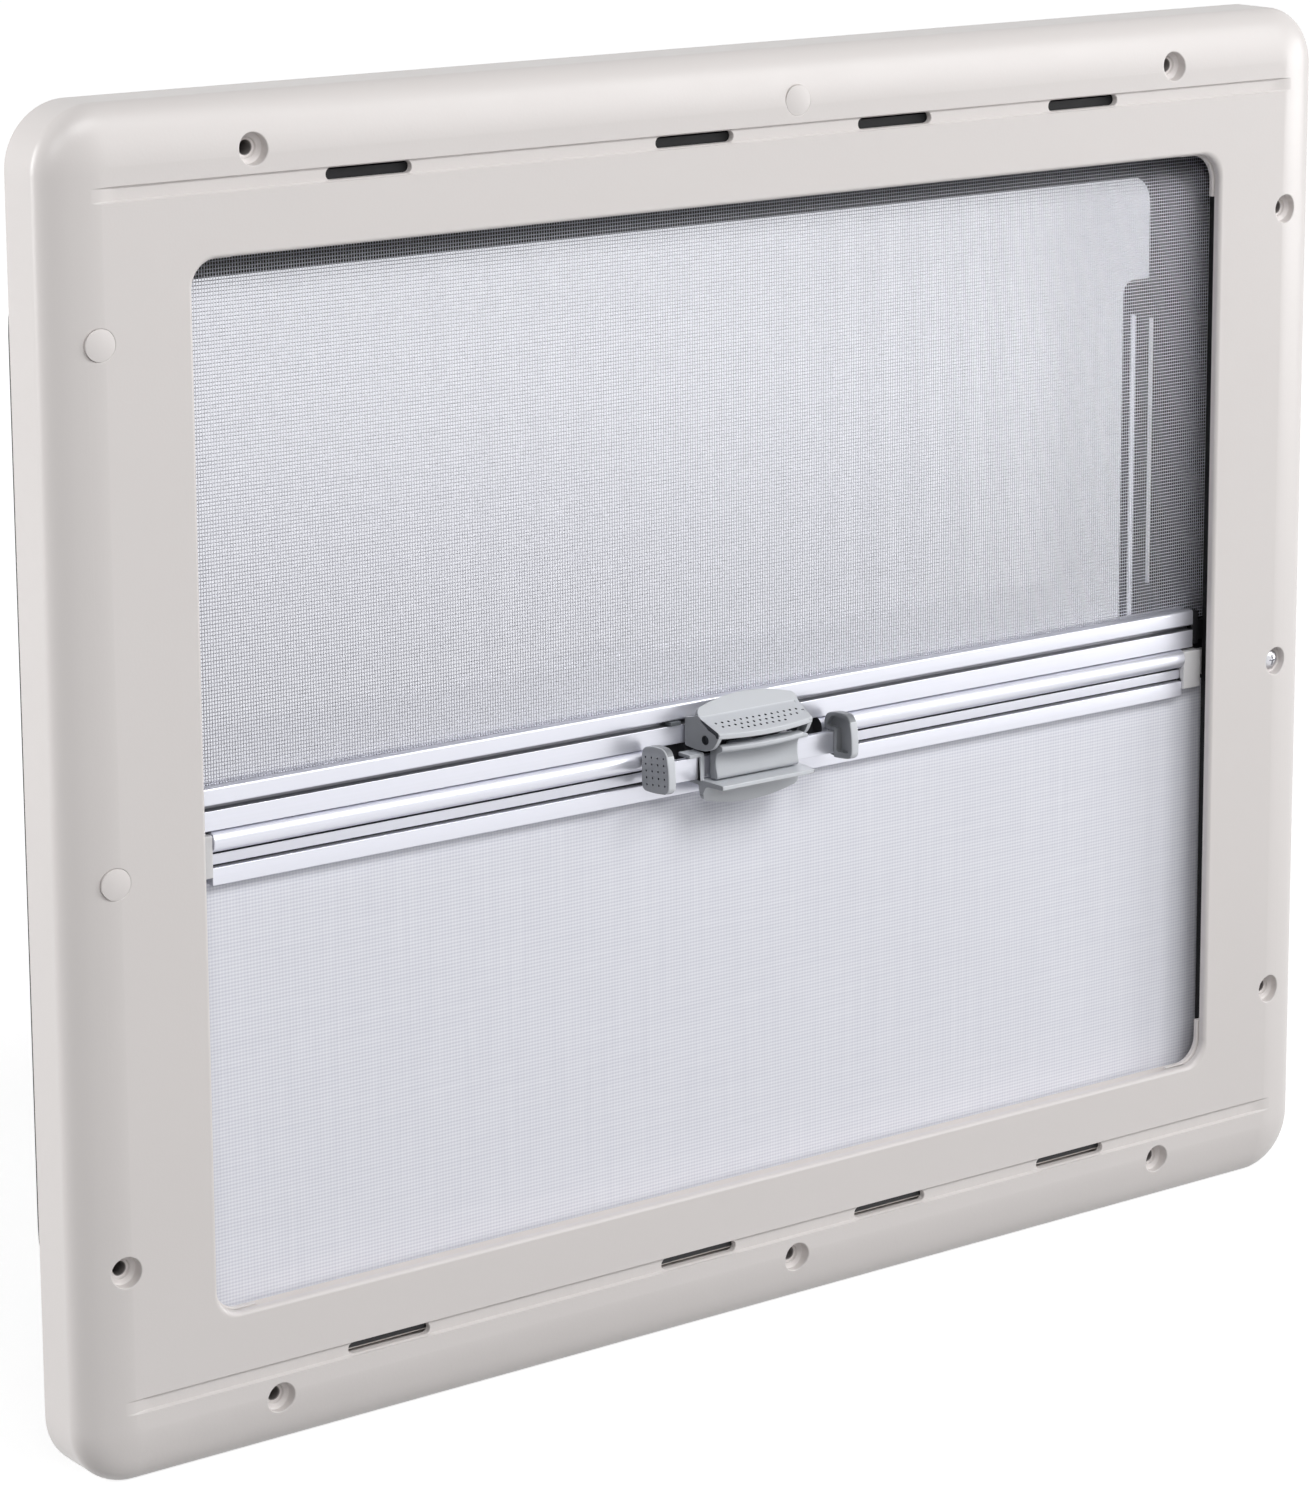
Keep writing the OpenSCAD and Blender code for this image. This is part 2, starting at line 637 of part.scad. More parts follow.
// Grip: an outer plate for the finger, and behind it a hollow rim that goes round its strip
grip_y0 = bar_y - 2.4;
grip_y1 = bar_y - grip_reach;
grip_z1 = seam_z + 4.4;
grip_z0 = grip_z1 - grip_h;
grip_skin = 1.5;
grip_points = [[grip_y0, grip_z0 + 2], [grip_y0, grip_z1 - 3.4], [grip_y0 - 2, grip_z1 - 1.3],
    [grip_y0 - 7, grip_z1], [grip_y1 + 5, grip_z1], [grip_y1 + 2, grip_z1 - 1.6],
    [grip_y1 + 0.7, grip_z1 - 5], [grip_y1, grip_z1 - 9], [grip_y1, grip_z0 + 4],
    [grip_y1 + 1, grip_z0 + 2], [grip_y1 + 3, grip_z0 + 1.2], [grip_y0 - 6, grip_z0],
    [grip_y0 - 2, grip_z0]];
module grip() {
    out = grips_span / 2;
    rim = 1.8;
    leg = strip_y0 - seat;
    head = strip_z1 + seat;
    difference() {
        along_x(out - grip_w, out) polygon(grip_points);
        box(out - grip_w - over, leg, grip_z0 - over, out - grip_skin, grip_y0 + over, head);
        along_x(out - grip_w - over, out - grip_skin)
            polygon([[leg - rim, grip_z0 + 1.2 + rim], [leg - rim, head + rim],
                [grip_y0 - rim, head + rim], [grip_y0 - rim, head + rim + 0.8],
                [grip_y0 - rim - 3.4, grip_z1 - rim], [grip_y1 + 3 + rim, grip_z1 - rim],
                [grip_y1 + rim, grip_z1 - 8], [grip_y1 + rim, grip_z0 + 2 + rim]]);
        for (i = [0:3], j = [0:4])
            round_x(dot_r, grip_y0 - 3.2 - i * 4.1, grip_z1 - 4.4 - j * 2.75, out - 0.4, out + over);
    }
}

module grip_right() color([0.62, 0.64, 0.66]) at_centre() grip();
module grip_left() color([0.62, 0.64, 0.66]) at_centre() mirror([1, 0, 0]) grip();

// Strip that carries a grip and slides through the wall of the tray
module grip_strip()
    box(strip_in, strip_y0, strip_z0, grips_span / 2 - grip_skin - seat, strip_y1, strip_z1);

module grip_strip_right() color([0.75, 0.76, 0.78]) at_centre() grip_strip();
module grip_strip_left() color([0.75, 0.76, 0.78]) at_centre() mirror([1, 0, 0]) grip_strip();

// Clip in the groove of the flyscreen bar, left of the catch
module bar_clip() color([0.5, 0.52, 0.54]) at_centre()
    box(-cheek_x - 8, bar_y - 1.5, seam_z + 7.9, -cheek_x - 3, bar_y + 3.5, seam_z + 9.5);

module outer_frame() color([0.1, 0.1, 0.11]) at_centre() difference() {
    plate(outer_w, outer_h, outer_r, outer_y0, outer_y1);
    plate(ring_in_w, ring_in_h, ring_in_r, -over, outer_y1 + over);
    plate(2 * rail_half + 2 * seat, ring_in_h + 2 * outer_extra_h, 0.5, -over, outer_y1 + over);
    plate(pane_w + 2, pane_h + 2, pane_r + 1, pane_y - seal_t, outer_y1 + over);
    for (h = holes) round_y(hole_r - 0.4 + pin_gap, h[0], h[1], -over, outer_y0 + 15);
}

// Rails that narrow the outer frame's opening at its head and sill
rail_half = ring_in_w / 2 - ring_in_r;
module frame_rail()
    box(-rail_half, outer_y0, ring_in_h / 2, rail_half, pane_y - seal_t,
        ring_in_h / 2 + outer_extra_h - seat);

module head_rail() color([0.1, 0.1, 0.11]) at_centre() frame_rail();
module sill_rail() color([0.1, 0.1, 0.11]) at_centre() mirror([0, 0, 1]) frame_rail();

// Rubber seal between the pane and the outer frame
module pane_seal() color([0.06, 0.06, 0.06]) at_centre() difference() {
    plate(pane_w - 4, pane_h - 4, pane_r - 2, pane_y - seal_t, pane_y);
    plate(ring_in_w - 2 * seal_lap, ring_in_h - 2 * seal_lap, ring_in_r - 2, 0, pane_y + over);
}

module pane_inner() color([0.85, 0.88, 0.92, 0.4]) at_centre()
    plate(pane_w, pane_h, pane_r, pane_y, pane_y + sheet_t);

module pane_spacer() color([0.1, 0.1, 0.11]) at_centre() difference() {
    plate(pane_w, pane_h, pane_r, pane_y + sheet_t, pane_y + sheet_t + sheet_gap);
    plate(pane_w - 20, pane_h - 20, pane_r - 10, pane_y, pane_y + 20);
}

module pane_outer() color([0.85, 0.88, 0.92, 0.4]) at_centre()
    plate(pane_w, pane_h, pane_r, pane_y + sheet_t + sheet_gap, pane_y + 2 * sheet_t + sheet_gap);

// Hinge rail along the top of the pane
hinge_half = cutout_w / 2 - cutout_r + 10;
module hinge_rail() color([0.15, 0.15, 0.16]) at_centre() {
    z = outer_h / 2 - pane_rim / 2;
    box(-hinge_half, outer_y1, z - 4, hinge_half, outer_y1 + 2, z + 3.5);
    round_x(3, outer_y1 + 3.5, z - 1, -hinge_half, hinge_half);
}

// Rail of a stay on the side of the outer frame
stay_in = ring_in_w / 2 - stay_w;
stay_y1 = pane_y - seal_t - seat;
stay_drop = 48;
stay_foot = 30;
stay_top = ring_in_h / 2 - stay_drop;
stay_bottom = -ring_in_h / 2 + stay_foot;
stay_end_r = 6;
tube_drop = 14;
tube_w = 3.4;
tube_d = 3;
rod_r = 2.2;
rod_x = stay_in + stay_w * 0.55;
rod_drop = 16;
rod_len = stay_top - 24;
module stay_rail() {
    x1 = ring_in_w / 2 - seat;
    y0 = stay_y1 - stay_depth;
    r = stay_end_r;
    difference() {
        union() {
            box(stay_in, y0, stay_bottom, x1, stay_y1, stay_top - r);
            box(stay_in + r, y0, stay_top - 1.5 * r, x1, stay_y1, stay_top);
            round_y(r, stay_in + r, stay_top - r, y0, stay_y1);
        }
        box(stay_in + tube_w, y0 - over, stay_bottom + 10, x1 - 4, y0 + 1.5, stay_top - rod_drop);
    }
}

module stay_rail_right() color([0.12, 0.12, 0.13]) at_centre() stay_rail();
module stay_rail_left() color([0.12, 0.12, 0.13]) at_centre() mirror([1, 0, 0]) stay_rail();

module stay_tubes() color([0.85, 0.86, 0.88]) at_centre()
    for (m = [0, 1]) mirror([m, 0, 0])
        box(stay_in, stay_y1 - stay_depth - seat - tube_d, stay_bottom, stay_in + tube_w,
            stay_y1 - stay_depth - seat, stay_top - tube_drop);

module stay_rods() color([0.85, 0.86, 0.88]) at_centre()
    for (m = [0, 1]) mirror([m, 0, 0])
        translate([rod_x, stay_y1 - stay_depth + 1.5 - seat - rod_r, stay_top - rod_drop - rod_len])
            cylinder(r = rod_r, h = rod_len);

// Latch on the inside of the pane, behind the blind
latch_x = cutout_w / 2 - 158;
latch_plate = [45, 3, 18];
latch_handle = [25, 6, 34];
module pane_latch() {
    y = pane_y - seat;
    z = -ring_in_h / 2 + latch_handle[2] / 2 + 5;
    translate([latch_x, y - latch_plate[1] / 2, z]) cube(latch_plate, center = true);
    translate([latch_x, y - latch_plate[1] - latch_handle[1] / 2 + 0.1, z])
        cube(latch_handle, center = true);
}

module pane_latch_right() color([0.16, 0.16, 0.17]) at_centre() pane_latch();
module pane_latch_left() color([0.16, 0.16, 0.17]) at_centre() mirror([1, 0, 0]) pane_latch();

trim_frame();
cap_top();
cap_left_upper();
cap_left_middle();
fixing_screw();
corner_blocks();
screen_cassette();
blind_cassette();
screen_roller();
blind_roller();
guide_left();
guide_right();
flyscreen();
screen_bar();
screen_glider_left();
screen_glider_right();
blackout_blind();
blind_bar();
blind_end_left();
blind_end_right();
catch_base();
catch_lever();
catch_pin();
catch_block();
catch_tray();
grip_left();
grip_right();
grip_strip_left();
grip_strip_right();
bar_clip();
outer_frame();
head_rail();
sill_rail();
pane_seal();
pane_inner();
pane_spacer();
pane_outer();
hinge_rail();
stay_rail_left();
stay_rail_right();
stay_tubes();
stay_rods();
pane_latch_left();
pane_latch_right();
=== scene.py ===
"""Looks of a hinged caravan window with its trim frame, flyscreen, blackout blind and pull bars.

Places are in millimetres from the window's centre, as in the CAD source, until a piece is made.
X runs to the right as seen from the room, Y out through the wall, Z up.
"""

import math

import bmesh
import bpy
import numpy as np
from mathutils import Matrix, Vector


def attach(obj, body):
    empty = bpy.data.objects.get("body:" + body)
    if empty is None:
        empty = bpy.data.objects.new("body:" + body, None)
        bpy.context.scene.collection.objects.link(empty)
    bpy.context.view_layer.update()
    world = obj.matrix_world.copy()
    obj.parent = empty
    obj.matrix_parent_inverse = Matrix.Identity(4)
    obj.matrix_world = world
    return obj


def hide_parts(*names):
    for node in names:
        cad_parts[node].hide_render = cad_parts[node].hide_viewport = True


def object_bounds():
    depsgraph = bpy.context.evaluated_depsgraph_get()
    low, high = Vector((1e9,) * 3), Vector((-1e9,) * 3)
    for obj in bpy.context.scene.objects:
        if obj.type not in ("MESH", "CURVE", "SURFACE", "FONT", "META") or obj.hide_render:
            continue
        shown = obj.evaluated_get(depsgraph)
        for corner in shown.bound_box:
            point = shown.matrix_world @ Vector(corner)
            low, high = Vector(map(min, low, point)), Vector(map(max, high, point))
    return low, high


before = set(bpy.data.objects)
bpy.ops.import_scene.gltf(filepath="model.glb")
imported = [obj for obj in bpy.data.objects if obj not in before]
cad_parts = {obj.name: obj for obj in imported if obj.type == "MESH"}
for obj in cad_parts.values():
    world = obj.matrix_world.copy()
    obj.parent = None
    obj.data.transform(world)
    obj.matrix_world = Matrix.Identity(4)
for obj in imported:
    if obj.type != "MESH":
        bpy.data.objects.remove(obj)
cad_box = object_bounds()

MM = 0.001
CENTRE = np.array([0.0, 0.0, 255.5])
MERGE = 1e-6

# Trim frame
HALF_W, HALF_H, CORNER_R = 311.0, 261.0, 25.0
FRONT = -30.0
WALL_TOP = -18.5
OPENING_INSET, OPENING_R = 59.0, 11.0
POCKET_INSET = 29.0
POCKET_Y = -26.0
LAP = 11.0
BAND, BAND_DROP = 22.8, 2.4
EDGE_REACH, EASE = 10.5, 1.5
LIP_R = 1.7
CORNER_STEPS = 16

# Screw holes, grooves and vents; a hole's profile below its rounded rim is radius and depth
HOLE_X, HOLE_Z = 290.6, 240.6
TOP_HOLES = (-225.0, 25.0, 225.0)
SIDE_HOLES = (-175.0, -25.0, 175.0)
HOLE_PROFILE = np.array([
    (6.0, -26.3), (5.9, -25.3), (5.2, -24.8), (4.3, -24.7), (4.0, -24.5), (3.9, -23.8), (3.7, -23.5),
    (2.9, -23.4), (2.7, -23.2), (2.7, 3.0), (0.0, 3.0)])
RIM_ROUND = 0.5
VENTS = (-175.0, -25.0, 75.0, 175.0)
VENT_HALF_W, VENT_HALF_H, VENT_R = 18.75, 2.3, 2.25
GROOVE_Z, GROOVE_DEPTH = 228.7, 1.35
GROOVE_END, GROOVE_FADE = 281.0, 13.0
CUT_FROM = -36.0

# Bars, cloths and their guides
BAR_Y, BAR_DEPTH = -20.0, 10.0
CLOTH_Y = -15.0
SEAM_Z = -14.7
SCREEN_BAR_TOP = 1.8
BLIND_BAR_BOTTOM = -36.0
BAR_HALF = 250.0
BLIND_BAR_HALF = 244.0
NOSE_R, NOSE_GAP = 4.2, (25.6, 43.6)
CLOTH_HALF = 265.0
CLOTH_SLOT = 0.6
ROLLER_Z = 217.0


def smooth(t):
    """Smooth step: 3 t^2 - 2 t^3 with t held between 0 and 1."""
    t = np.clip(t, 0.0, 1.0)
    return t * t * (3.0 - 2.0 * t)


def srgb(red, green, blue):
    """Linear colour of an 8-bit screen colour, by the usual curve."""
    c = np.array([red, green, blue]) / 255.0
    linear = np.where(c <= 0.04045, c / 12.92, ((c + 0.055) / 1.055) ** 2.4)
    return (*linear.tolist(), 1.0)


# Mesh making


def grid_faces(rows, cols, close_rows=False, close_cols=False):
    """Quads of a grid: each joins a point with the next in its row and the same two in the next row."""
    r, c = np.meshgrid(np.arange(rows if close_rows else rows - 1),
                       np.arange(cols if close_cols else cols - 1), indexing="ij")
    r, c = r.ravel(), c.ravel()
    r2, c2 = (r + 1) % rows, (c + 1) % cols
    return np.stack([r * cols + c, r * cols + c2, r2 * cols + c2, r2 * cols + c], 1)


def make_piece(name, points, faces, material, replaces=(), slot=None, body="window",
               closed=True, sharp=40.0):
    """A mesh object from points in millimetres and lists of faces, with its normals turned outwards."""
    mesh = bpy.data.meshes.new(name)
    mesh.from_pydata(((points.reshape(-1, 3) + CENTRE) * MM).tolist(), [],
                     [tuple(f) for block in faces for f in block])
    if closed:
        work = bmesh.new()
        work.from_mesh(mesh)
        bmesh.ops.remove_doubles(work, verts=work.verts, dist=MERGE)
        bmesh.ops.recalc_face_normals(work, faces=work.faces)
        work.to_mesh(mesh)
        work.free()
    mesh.shade_smooth()
    mesh.set_sharp_from_angle(angle=math.radians(sharp))
    piece = bpy.data.objects.new(name, mesh)
    bpy.context.scene.collection.objects.link(piece)
    if material:
        mesh.materials.append(material)
        declare(piece, replaces, body)
    return piece


def declare(piece, replaces, body="window"):
    """Says what a finished piece stands for and rides on."""
    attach(piece, body)
    if replaces:
        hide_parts(*replaces)


def tubes(sections, cap=True):
    """Grid faces for several tubes of the same size, each row of points a closed section."""
    count, rows, cols = sections.shape[:3]
    sides = grid_faces(rows, cols, close_cols=True)
    start = np.arange(count)[:, None, None] * rows * cols
    faces = [(start + sides[None]).reshape(-1, 4)]
    if cap:
        first, last = np.arange(cols)[::-1], (rows - 1) * cols + np.arange(cols)
        faces += [(start[:, 0] + first[None]), (start[:, 0] + last[None])]
    return faces


def soften(corners, cuts, steps=6):
    """Each corner P gives way to (1-t)^2 A + 2 t (1-t) P + t^2 B, with A and B a cut before and after P.

    The corners are a closed outline, or one outline for each station, stacked.
    """
    corners = np.asarray(corners, float)
    cuts = np.broadcast_to(np.asarray(cuts, float), corners.shape[-2])[:, None]
    back, ahead = np.roll(corners, 1, -2) - corners, np.roll(corners, -1, -2) - corners
    back_len = np.maximum(np.linalg.norm(back, axis=-1, keepdims=True), 1e-6)
    ahead_len = np.maximum(np.linalg.norm(ahead, axis=-1, keepdims=True), 1e-6)
    a = corners + back / back_len * np.minimum(cuts, back_len * 0.48)
    b = corners + ahead / ahead_len * np.minimum(cuts, ahead_len * 0.48)
    t = np.linspace(0.0, 1.0, steps + 1)[:, None]
    a, b, middle = a[..., None, :], b[..., None, :], corners[..., None, :]
    curve = (1 - t) ** 2 * a + 2 * t * (1 - t) * middle + t ** 2 * b
    return curve.reshape(*corners.shape[:-2], -1, 2)


def drawn_in(loops, inset):
    """Closed outlines moved in by an inset, each point along the normal of its neighbours' chord."""
    chord = np.roll(loops, -1, -2) - np.roll(loops, 1, -2)
    normal = np.stack([-chord[..., 1], chord[..., 0]], -1)
    normal /= np.maximum(np.linalg.norm(normal, axis=-1, keepdims=True), 1e-9)
    x, z = loops[..., 0], loops[..., 1]
    area = 0.5 * np.sum(x * np.roll(z, -1, -1) - np.roll(x, -1, -1) * z, -1)
    return loops + normal * np.sign(area)[..., None, None] * inset


def lofted(loops, x, soft=0.4):
    """Closed outlines in Y and Z, one for each place along X, as a solid.

    Near each end the outline draws in by soft (1 - sin a) over the last soft (1 - cos a) of X. The
    places may be one number for each outline, or one for each of its points.
    """
    a = np.linspace(0.0, np.pi / 2, 4)
    x = np.broadcast_to(np.asarray(x, float).reshape(len(loops), -1), loops.shape[:2])
    first = [drawn_in(loops[0], soft * (1 - math.sin(b))) for b in a]
    last = [drawn_in(loops[-1], soft * (1 - math.sin(b))) for b in a[::-1]]
    way = np.sign(np.mean(x[-1] - x[0]))
    x_first = [x[0] + way * soft * (1 - math.cos(b)) for b in a]
    x_last = [x[-1] - way * soft * (1 - math.cos(b)) for b in a[::-1]]
    loops = np.concatenate([np.array(first), loops[1:-1], np.array(last)])
    x = np.concatenate([np.array(x_first), x[1:-1], np.array(x_last)])
    points = np.concatenate([x[..., None], loops], -1)[None]
    return points.reshape(-1, 3), tubes(points)


def plate_across(outline, x0, x1, soft=0.4, lean=0.0, lean_from=0.0):
    """A flat outline in Y and Z between two places on X, which may lean with Y."""
    shift = lean * (outline[None, :, 0] - lean_from)
    return lofted(np.stack([outline, outline]), np.array([[x0], [x1]]) + shift, soft)


def joined(*parts):
    """Several surfaces as one list of points and one of faces."""
    points, faces, start = [], [], 0
    for part_points, part_faces in parts:
        flat = part_points.reshape(-1, 3)
        points.append(flat)
        faces += [block + start for block in part_faces]
        start += len(flat)
    return np.concatenate(points), faces


def mirrored(part):
    """The same surface on the other side of X = 0."""
    points, faces = part
    return points * np.array([-1.0, 1.0, 1.0]), [block[:, ::-1] for block in faces]


def rods(centres, radius, axis, length, sides=12):
    """Round pegs of one size that start at each centre and run along an axis."""
    axis = np.asarray(axis, float)
    side = np.cross(axis, [0.3, 0.5, 0.8])
    side /= np.linalg.norm(side)
    up = np.cross(axis, side)
    turn = np.linspace(0.0, 2 * np.pi, sides + 1)[:-1]
    circle = radius * (np.cos(turn)[:, None] * side + np.sin(turn)[:, None] * up)
    ends = np.array([0.0, length])[:, None, None] * axis
    points = np.asarray(centres, float)[:, None, None, :] + ends[None] + circle[None, None]
    return points, tubes(points)


def carried_along_x(section, stations):
    """A section in Y and Z stands at each station on X."""
    return lofted(np.stack([section] * len(stations)), stations, 0.3)


def ring(half_w, half_h, radius, steps):
    """Rounded rectangles: each corner's centre plus the radius times (cos a, sin a) over a quarter."""
    half_w, half_h, radius = (np.asarray(v, float)[..., None, None] for v in (half_w, half_h, radius))
    a = np.linspace(0.0, np.pi / 2, steps + 1)[None] + np.arange(4)[:, None] * np.pi / 2
    sx, sz = np.array([[1], [-1], [-1], [1]]), np.array([[1], [1], [-1], [-1]])
    x = sx * (half_w - radius) + radius * np.cos(a)
    z = sz * (half_h - radius) + radius * np.sin(a)
    return x.reshape(*x.shape[:-2], -1), z.reshape(*z.shape[:-2], -1)


# Trim frame


def front_drop():
    """Depth of the trim frame's face below its front plane at each inset from the edge.

    A quarter of an ellipse rises from the side wall over the rounded edge. From there the drop is
    BAND_DROP times the share of the band still to go, raised to EASE, so that it fades into the flat.
    """
    run = BAND - EDGE_REACH
    rise = WALL_TOP - FRONT - BAND_DROP
    meet = EASE * BAND_DROP / run * EDGE_REACH / rise
    end = math.acos(meet / (1.0 - meet))
    turn = np.linspace(0.0, end, 22)
    inset = EDGE_REACH * (1.0 - np.cos(turn)) / (1.0 - math.cos(end))
    edge = WALL_TOP - FRONT - rise * np.sin(turn) / math.sin(end)
    band = np.linspace(EDGE_REACH, BAND, 24)[1:]
    return np.append(inset, band), np.append(edge, BAND_DROP * ((BAND - band) / run) ** EASE)


INSETS, DROPS = front_drop()


def face_y(x, z):
    """Depth of the trim frame's face at a place: the drop at the nearer edge's inset."""
    inset = np.minimum(HALF_W - np.abs(x), HALF_H - np.abs(z))
    return FRONT + np.interp(inset, INSETS, DROPS)


def trim_rings():
    """Rings of the trim frame's whole section: inset, corner radius and depth, once round.

    Over the rounded edge the corner radius falls by the inset, then it runs straight between values.
    """
    lip = np.linspace(0.0, np.pi / 2, 8)
    inset = [0.0, 0.0] + INSETS.tolist() + [30.0, 45.0]
    depth = [0.0, -9.0] + (FRONT + DROPS).tolist() + [FRONT, FRONT]
    inset += (OPENING_INSET - LIP_R + LIP_R * np.sin(lip)).tolist()
    depth += (FRONT + LIP_R - LIP_R * np.cos(lip)).tolist()
    inset += [OPENING_INSET, OPENING_INSET - 0.4, 45.0, POCKET_INSET + 1, POCKET_INSET]
    depth += [POCKET_Y - 0.4, POCKET_Y, POCKET_Y, POCKET_Y, POCKET_Y + 1]
    inset += [POCKET_INSET, LAP, LAP]
    depth += [-0.3, -0.3, 0.0]
    inset, depth = np.array(inset), np.array(depth)
    radius = np.where(inset < 21.0, CORNER_R - inset,
                      np.interp(inset, [21.0, 30.0, 45.0, OPENING_INSET], [4.0, 6.0, 8.0, OPENING_R]))
    return inset, radius, depth


def trim_shell():
    """Rounded rectangles, one for each point of the section, joined in a closed band."""
    inset, radius, depth = trim_rings()
    points = np.empty((len(inset), 4 * (CORNER_STEPS + 1), 3))
    points[..., 0], points[..., 2] = ring(HALF_W - inset, HALF_H - inset, radius, CORNER_STEPS)
    points[..., 1] = depth[:, None]
    return points, [grid_faces(*points.shape[:2], close_rows=True, close_cols=True)]


def hole_centres():
    """Places on X and Z of the screw holes, three along each side of the frame."""
    holes = [(x, s * HOLE_Z) for x in TOP_HOLES for s in (-1, 1)]
    return np.array(holes + [(s * HOLE_X, z) for z in SIDE_HOLES for s in (-1, 1)])


def hole_cutters():
    """Revolved cutters: a rim rounded by a quarter turn, a counterbore with an inner step, and the bore.

    The rim's depth counts from the frame's face, the profile's from the window's centre.
    """
    holes = hole_centres()[:, :, None, None]
    quarter = np.linspace(0.0, np.pi / 2, 7)
    rim_r = HOLE_PROFILE[0, 0] + RIM_ROUND * (1 - np.sin(quarter))
    below = np.append(-0.06, RIM_ROUND * (1 - np.cos(quarter)))
    radius = np.concatenate([[0.0, 7.0, 7.0], rim_r, HOLE_PROFILE[:, 0]])[:, None]
    turn = np.linspace(0.0, 2 * np.pi, 49)[:-1]
    x, z = holes[:, 0] + radius * np.cos(turn), holes[:, 1] + radius * np.sin(turn)
    y = face_y(x, z)
    y[:, :2] = CUT_FROM
    y[:, 2:2 + len(below)] += below[:, None]
    y[:, 2 + len(below):] = HOLE_PROFILE[:, 1, None]
    points = np.stack([x, y, z], -1)
    return points, tubes(points, cap=False)


def groove_cutters():
    """A channel carried along X whose depth fades out near its ends, with flat floor and soft walls."""
    end = np.linspace(276, 296, 21)
    x = np.concatenate([-end[::-1], np.linspace(-250, 250, 11), end])
    side_steps = np.linspace(2.1, 3.3, 9)
    across = np.concatenate([-side_steps[::-1], side_steps])
    wall = 1.0 - smooth((np.abs(across) - 2.2) / 0.9)
    depth = GROOVE_DEPTH * (1.0 - smooth((np.abs(x) - GROOVE_END) / GROOVE_FADE))
    points = np.empty((2, len(x), len(across) + 2, 3))
    points[..., 0] = x[None, :, None]
    for k, side in enumerate((-1, 1)):
        z = side * GROOVE_Z + across
        surface = face_y(x[:, None], z[None]) + depth[:, None] * wall[None] - 0.03
        points[k, :, 1:-1, 1] = surface
        points[k, :, 1:-1, 2] = z
        points[k, :, (0, -1), 2] = z[[0, -1]][:, None]
    points[:, :, (0, -1), 1] = CUT_FROM
    return points, tubes(points)


def slot_cutters():
    """Stadium outlines stacked in depth, wider where the top edge is rounded."""
    grow = np.array([0.6, 0.6, 0.25, 0.07, 0.0, 0.0])
    depth = np.array([CUT_FROM, -29.1, -28.75, -28.45, -28.1, -20.0])
    vents = np.array([(x, s * GROOVE_Z) for x in VENTS for s in (-1, 1)])[:, :, None, None]
    x, z = ring(VENT_HALF_W + grow, VENT_HALF_H + grow, VENT_R + grow, 8)
    points = np.empty((len(vents), *x.shape, 3))
    points[..., 0], points[..., 2] = vents[:, 0] + x, vents[:, 1] + z
    points[..., 1] = depth[:, None]
    return points, tubes(points)


def cut(piece, cutters):
    """The piece less each cutter, worked out exactly, with the result kept as its mesh."""
    made = []
    for name, (points, faces) in cutters.items():
        cutter = make_piece(name, points, faces, None)
        made.append(cutter)
        step = piece.modifiers.new(name, "BOOLEAN")
        step.operation, step.solver, step.object = "DIFFERENCE", "EXACT", cutter
        step.material_mode = "INDEX"
    bake_modifiers(piece)
    for cutter in made:
        bpy.data.meshes.remove(cutter.data)
    return piece


def bake_modifiers(piece):
    """The piece's mesh as its modifiers leave it."""
    bpy.context.view_layer.update()
    shape = piece.evaluated_get(bpy.context.evaluated_depsgraph_get())
    mesh = bpy.data.meshes.new_from_object(shape, depsgraph=bpy.context.evaluated_depsgraph_get())
    piece.modifiers.clear()
    piece.data = mesh


def soft_copy(node, body, finish, width):
    """A copy of a node's solid, merged and with its coplanar triangles joined, and a round of this width
    in millimetres along each edge that turns by more than 35 degrees."""
    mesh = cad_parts[node].data.copy()
    work = bmesh.new()
    work.from_mesh(mesh)
    bmesh.ops.remove_doubles(work, verts=work.verts, dist=MERGE)
    bmesh.ops.dissolve_limit(work, angle_limit=math.radians(1.0), verts=work.verts, edges=work.edges)
    work.to_mesh(mesh)
    work.free()
    mesh.shade_smooth()
    mesh.materials.clear()
    mesh.materials.append(MATERIALS[finish])
    piece = bpy.data.objects.new(node + "_soft", mesh)
    bpy.context.scene.collection.objects.link(piece)
    round_off = piece.modifiers.new("soft edges", "BEVEL")
    round_off.width, round_off.segments = width * MM, 3
    round_off.limit_method, round_off.angle_limit = "ANGLE", math.radians(35.0)
    round_off.harden_normals = True
    declare(piece, [node], body)


def weigh_normals(piece):
    """Large faces decide the shading of the small rounds beside them."""
    step = piece.modifiers.new("large faces lead", "WEIGHTED_NORMAL")
    step.mode, step.weight, step.keep_sharp = "FACE_AREA", 60, True


def shade(piece, domain, tone):
    """Gives each point or face a tone from 0 to 1, mostly painted shade, worked out from its place and
    its normal.
    """
    items = piece.data.vertices if domain == "POINT" else piece.data.polygons
    place, normal = np.empty((len(items), 3)), np.empty((len(items), 3))
    items.foreach_get("co" if domain == "POINT" else "center", place.ravel())
    items.foreach_get("normal", normal.ravel())
    values = np.asarray(tone(*(place / MM - CENTRE).T, normal), np.float32)
    piece.data.attributes.new("tone", "FLOAT", domain).data.foreach_set("value", values)


def carved(name, part, cutters, finish, tone, replaces, body="window", sharp=32.0, lead=True):
    """A closed piece less its cutters, which then gets its sharp edges, its tones and its shading."""
    piece = make_piece(name, *part, None)
    piece.data.materials.append(MATERIALS[finish])
    cut(piece, cutters)
    piece.data.set_sharp_from_angle(angle=math.radians(sharp))
    shade(piece, "FACE", tone)
    if lead:
        weigh_normals(piece)
    declare(piece, replaces, body)


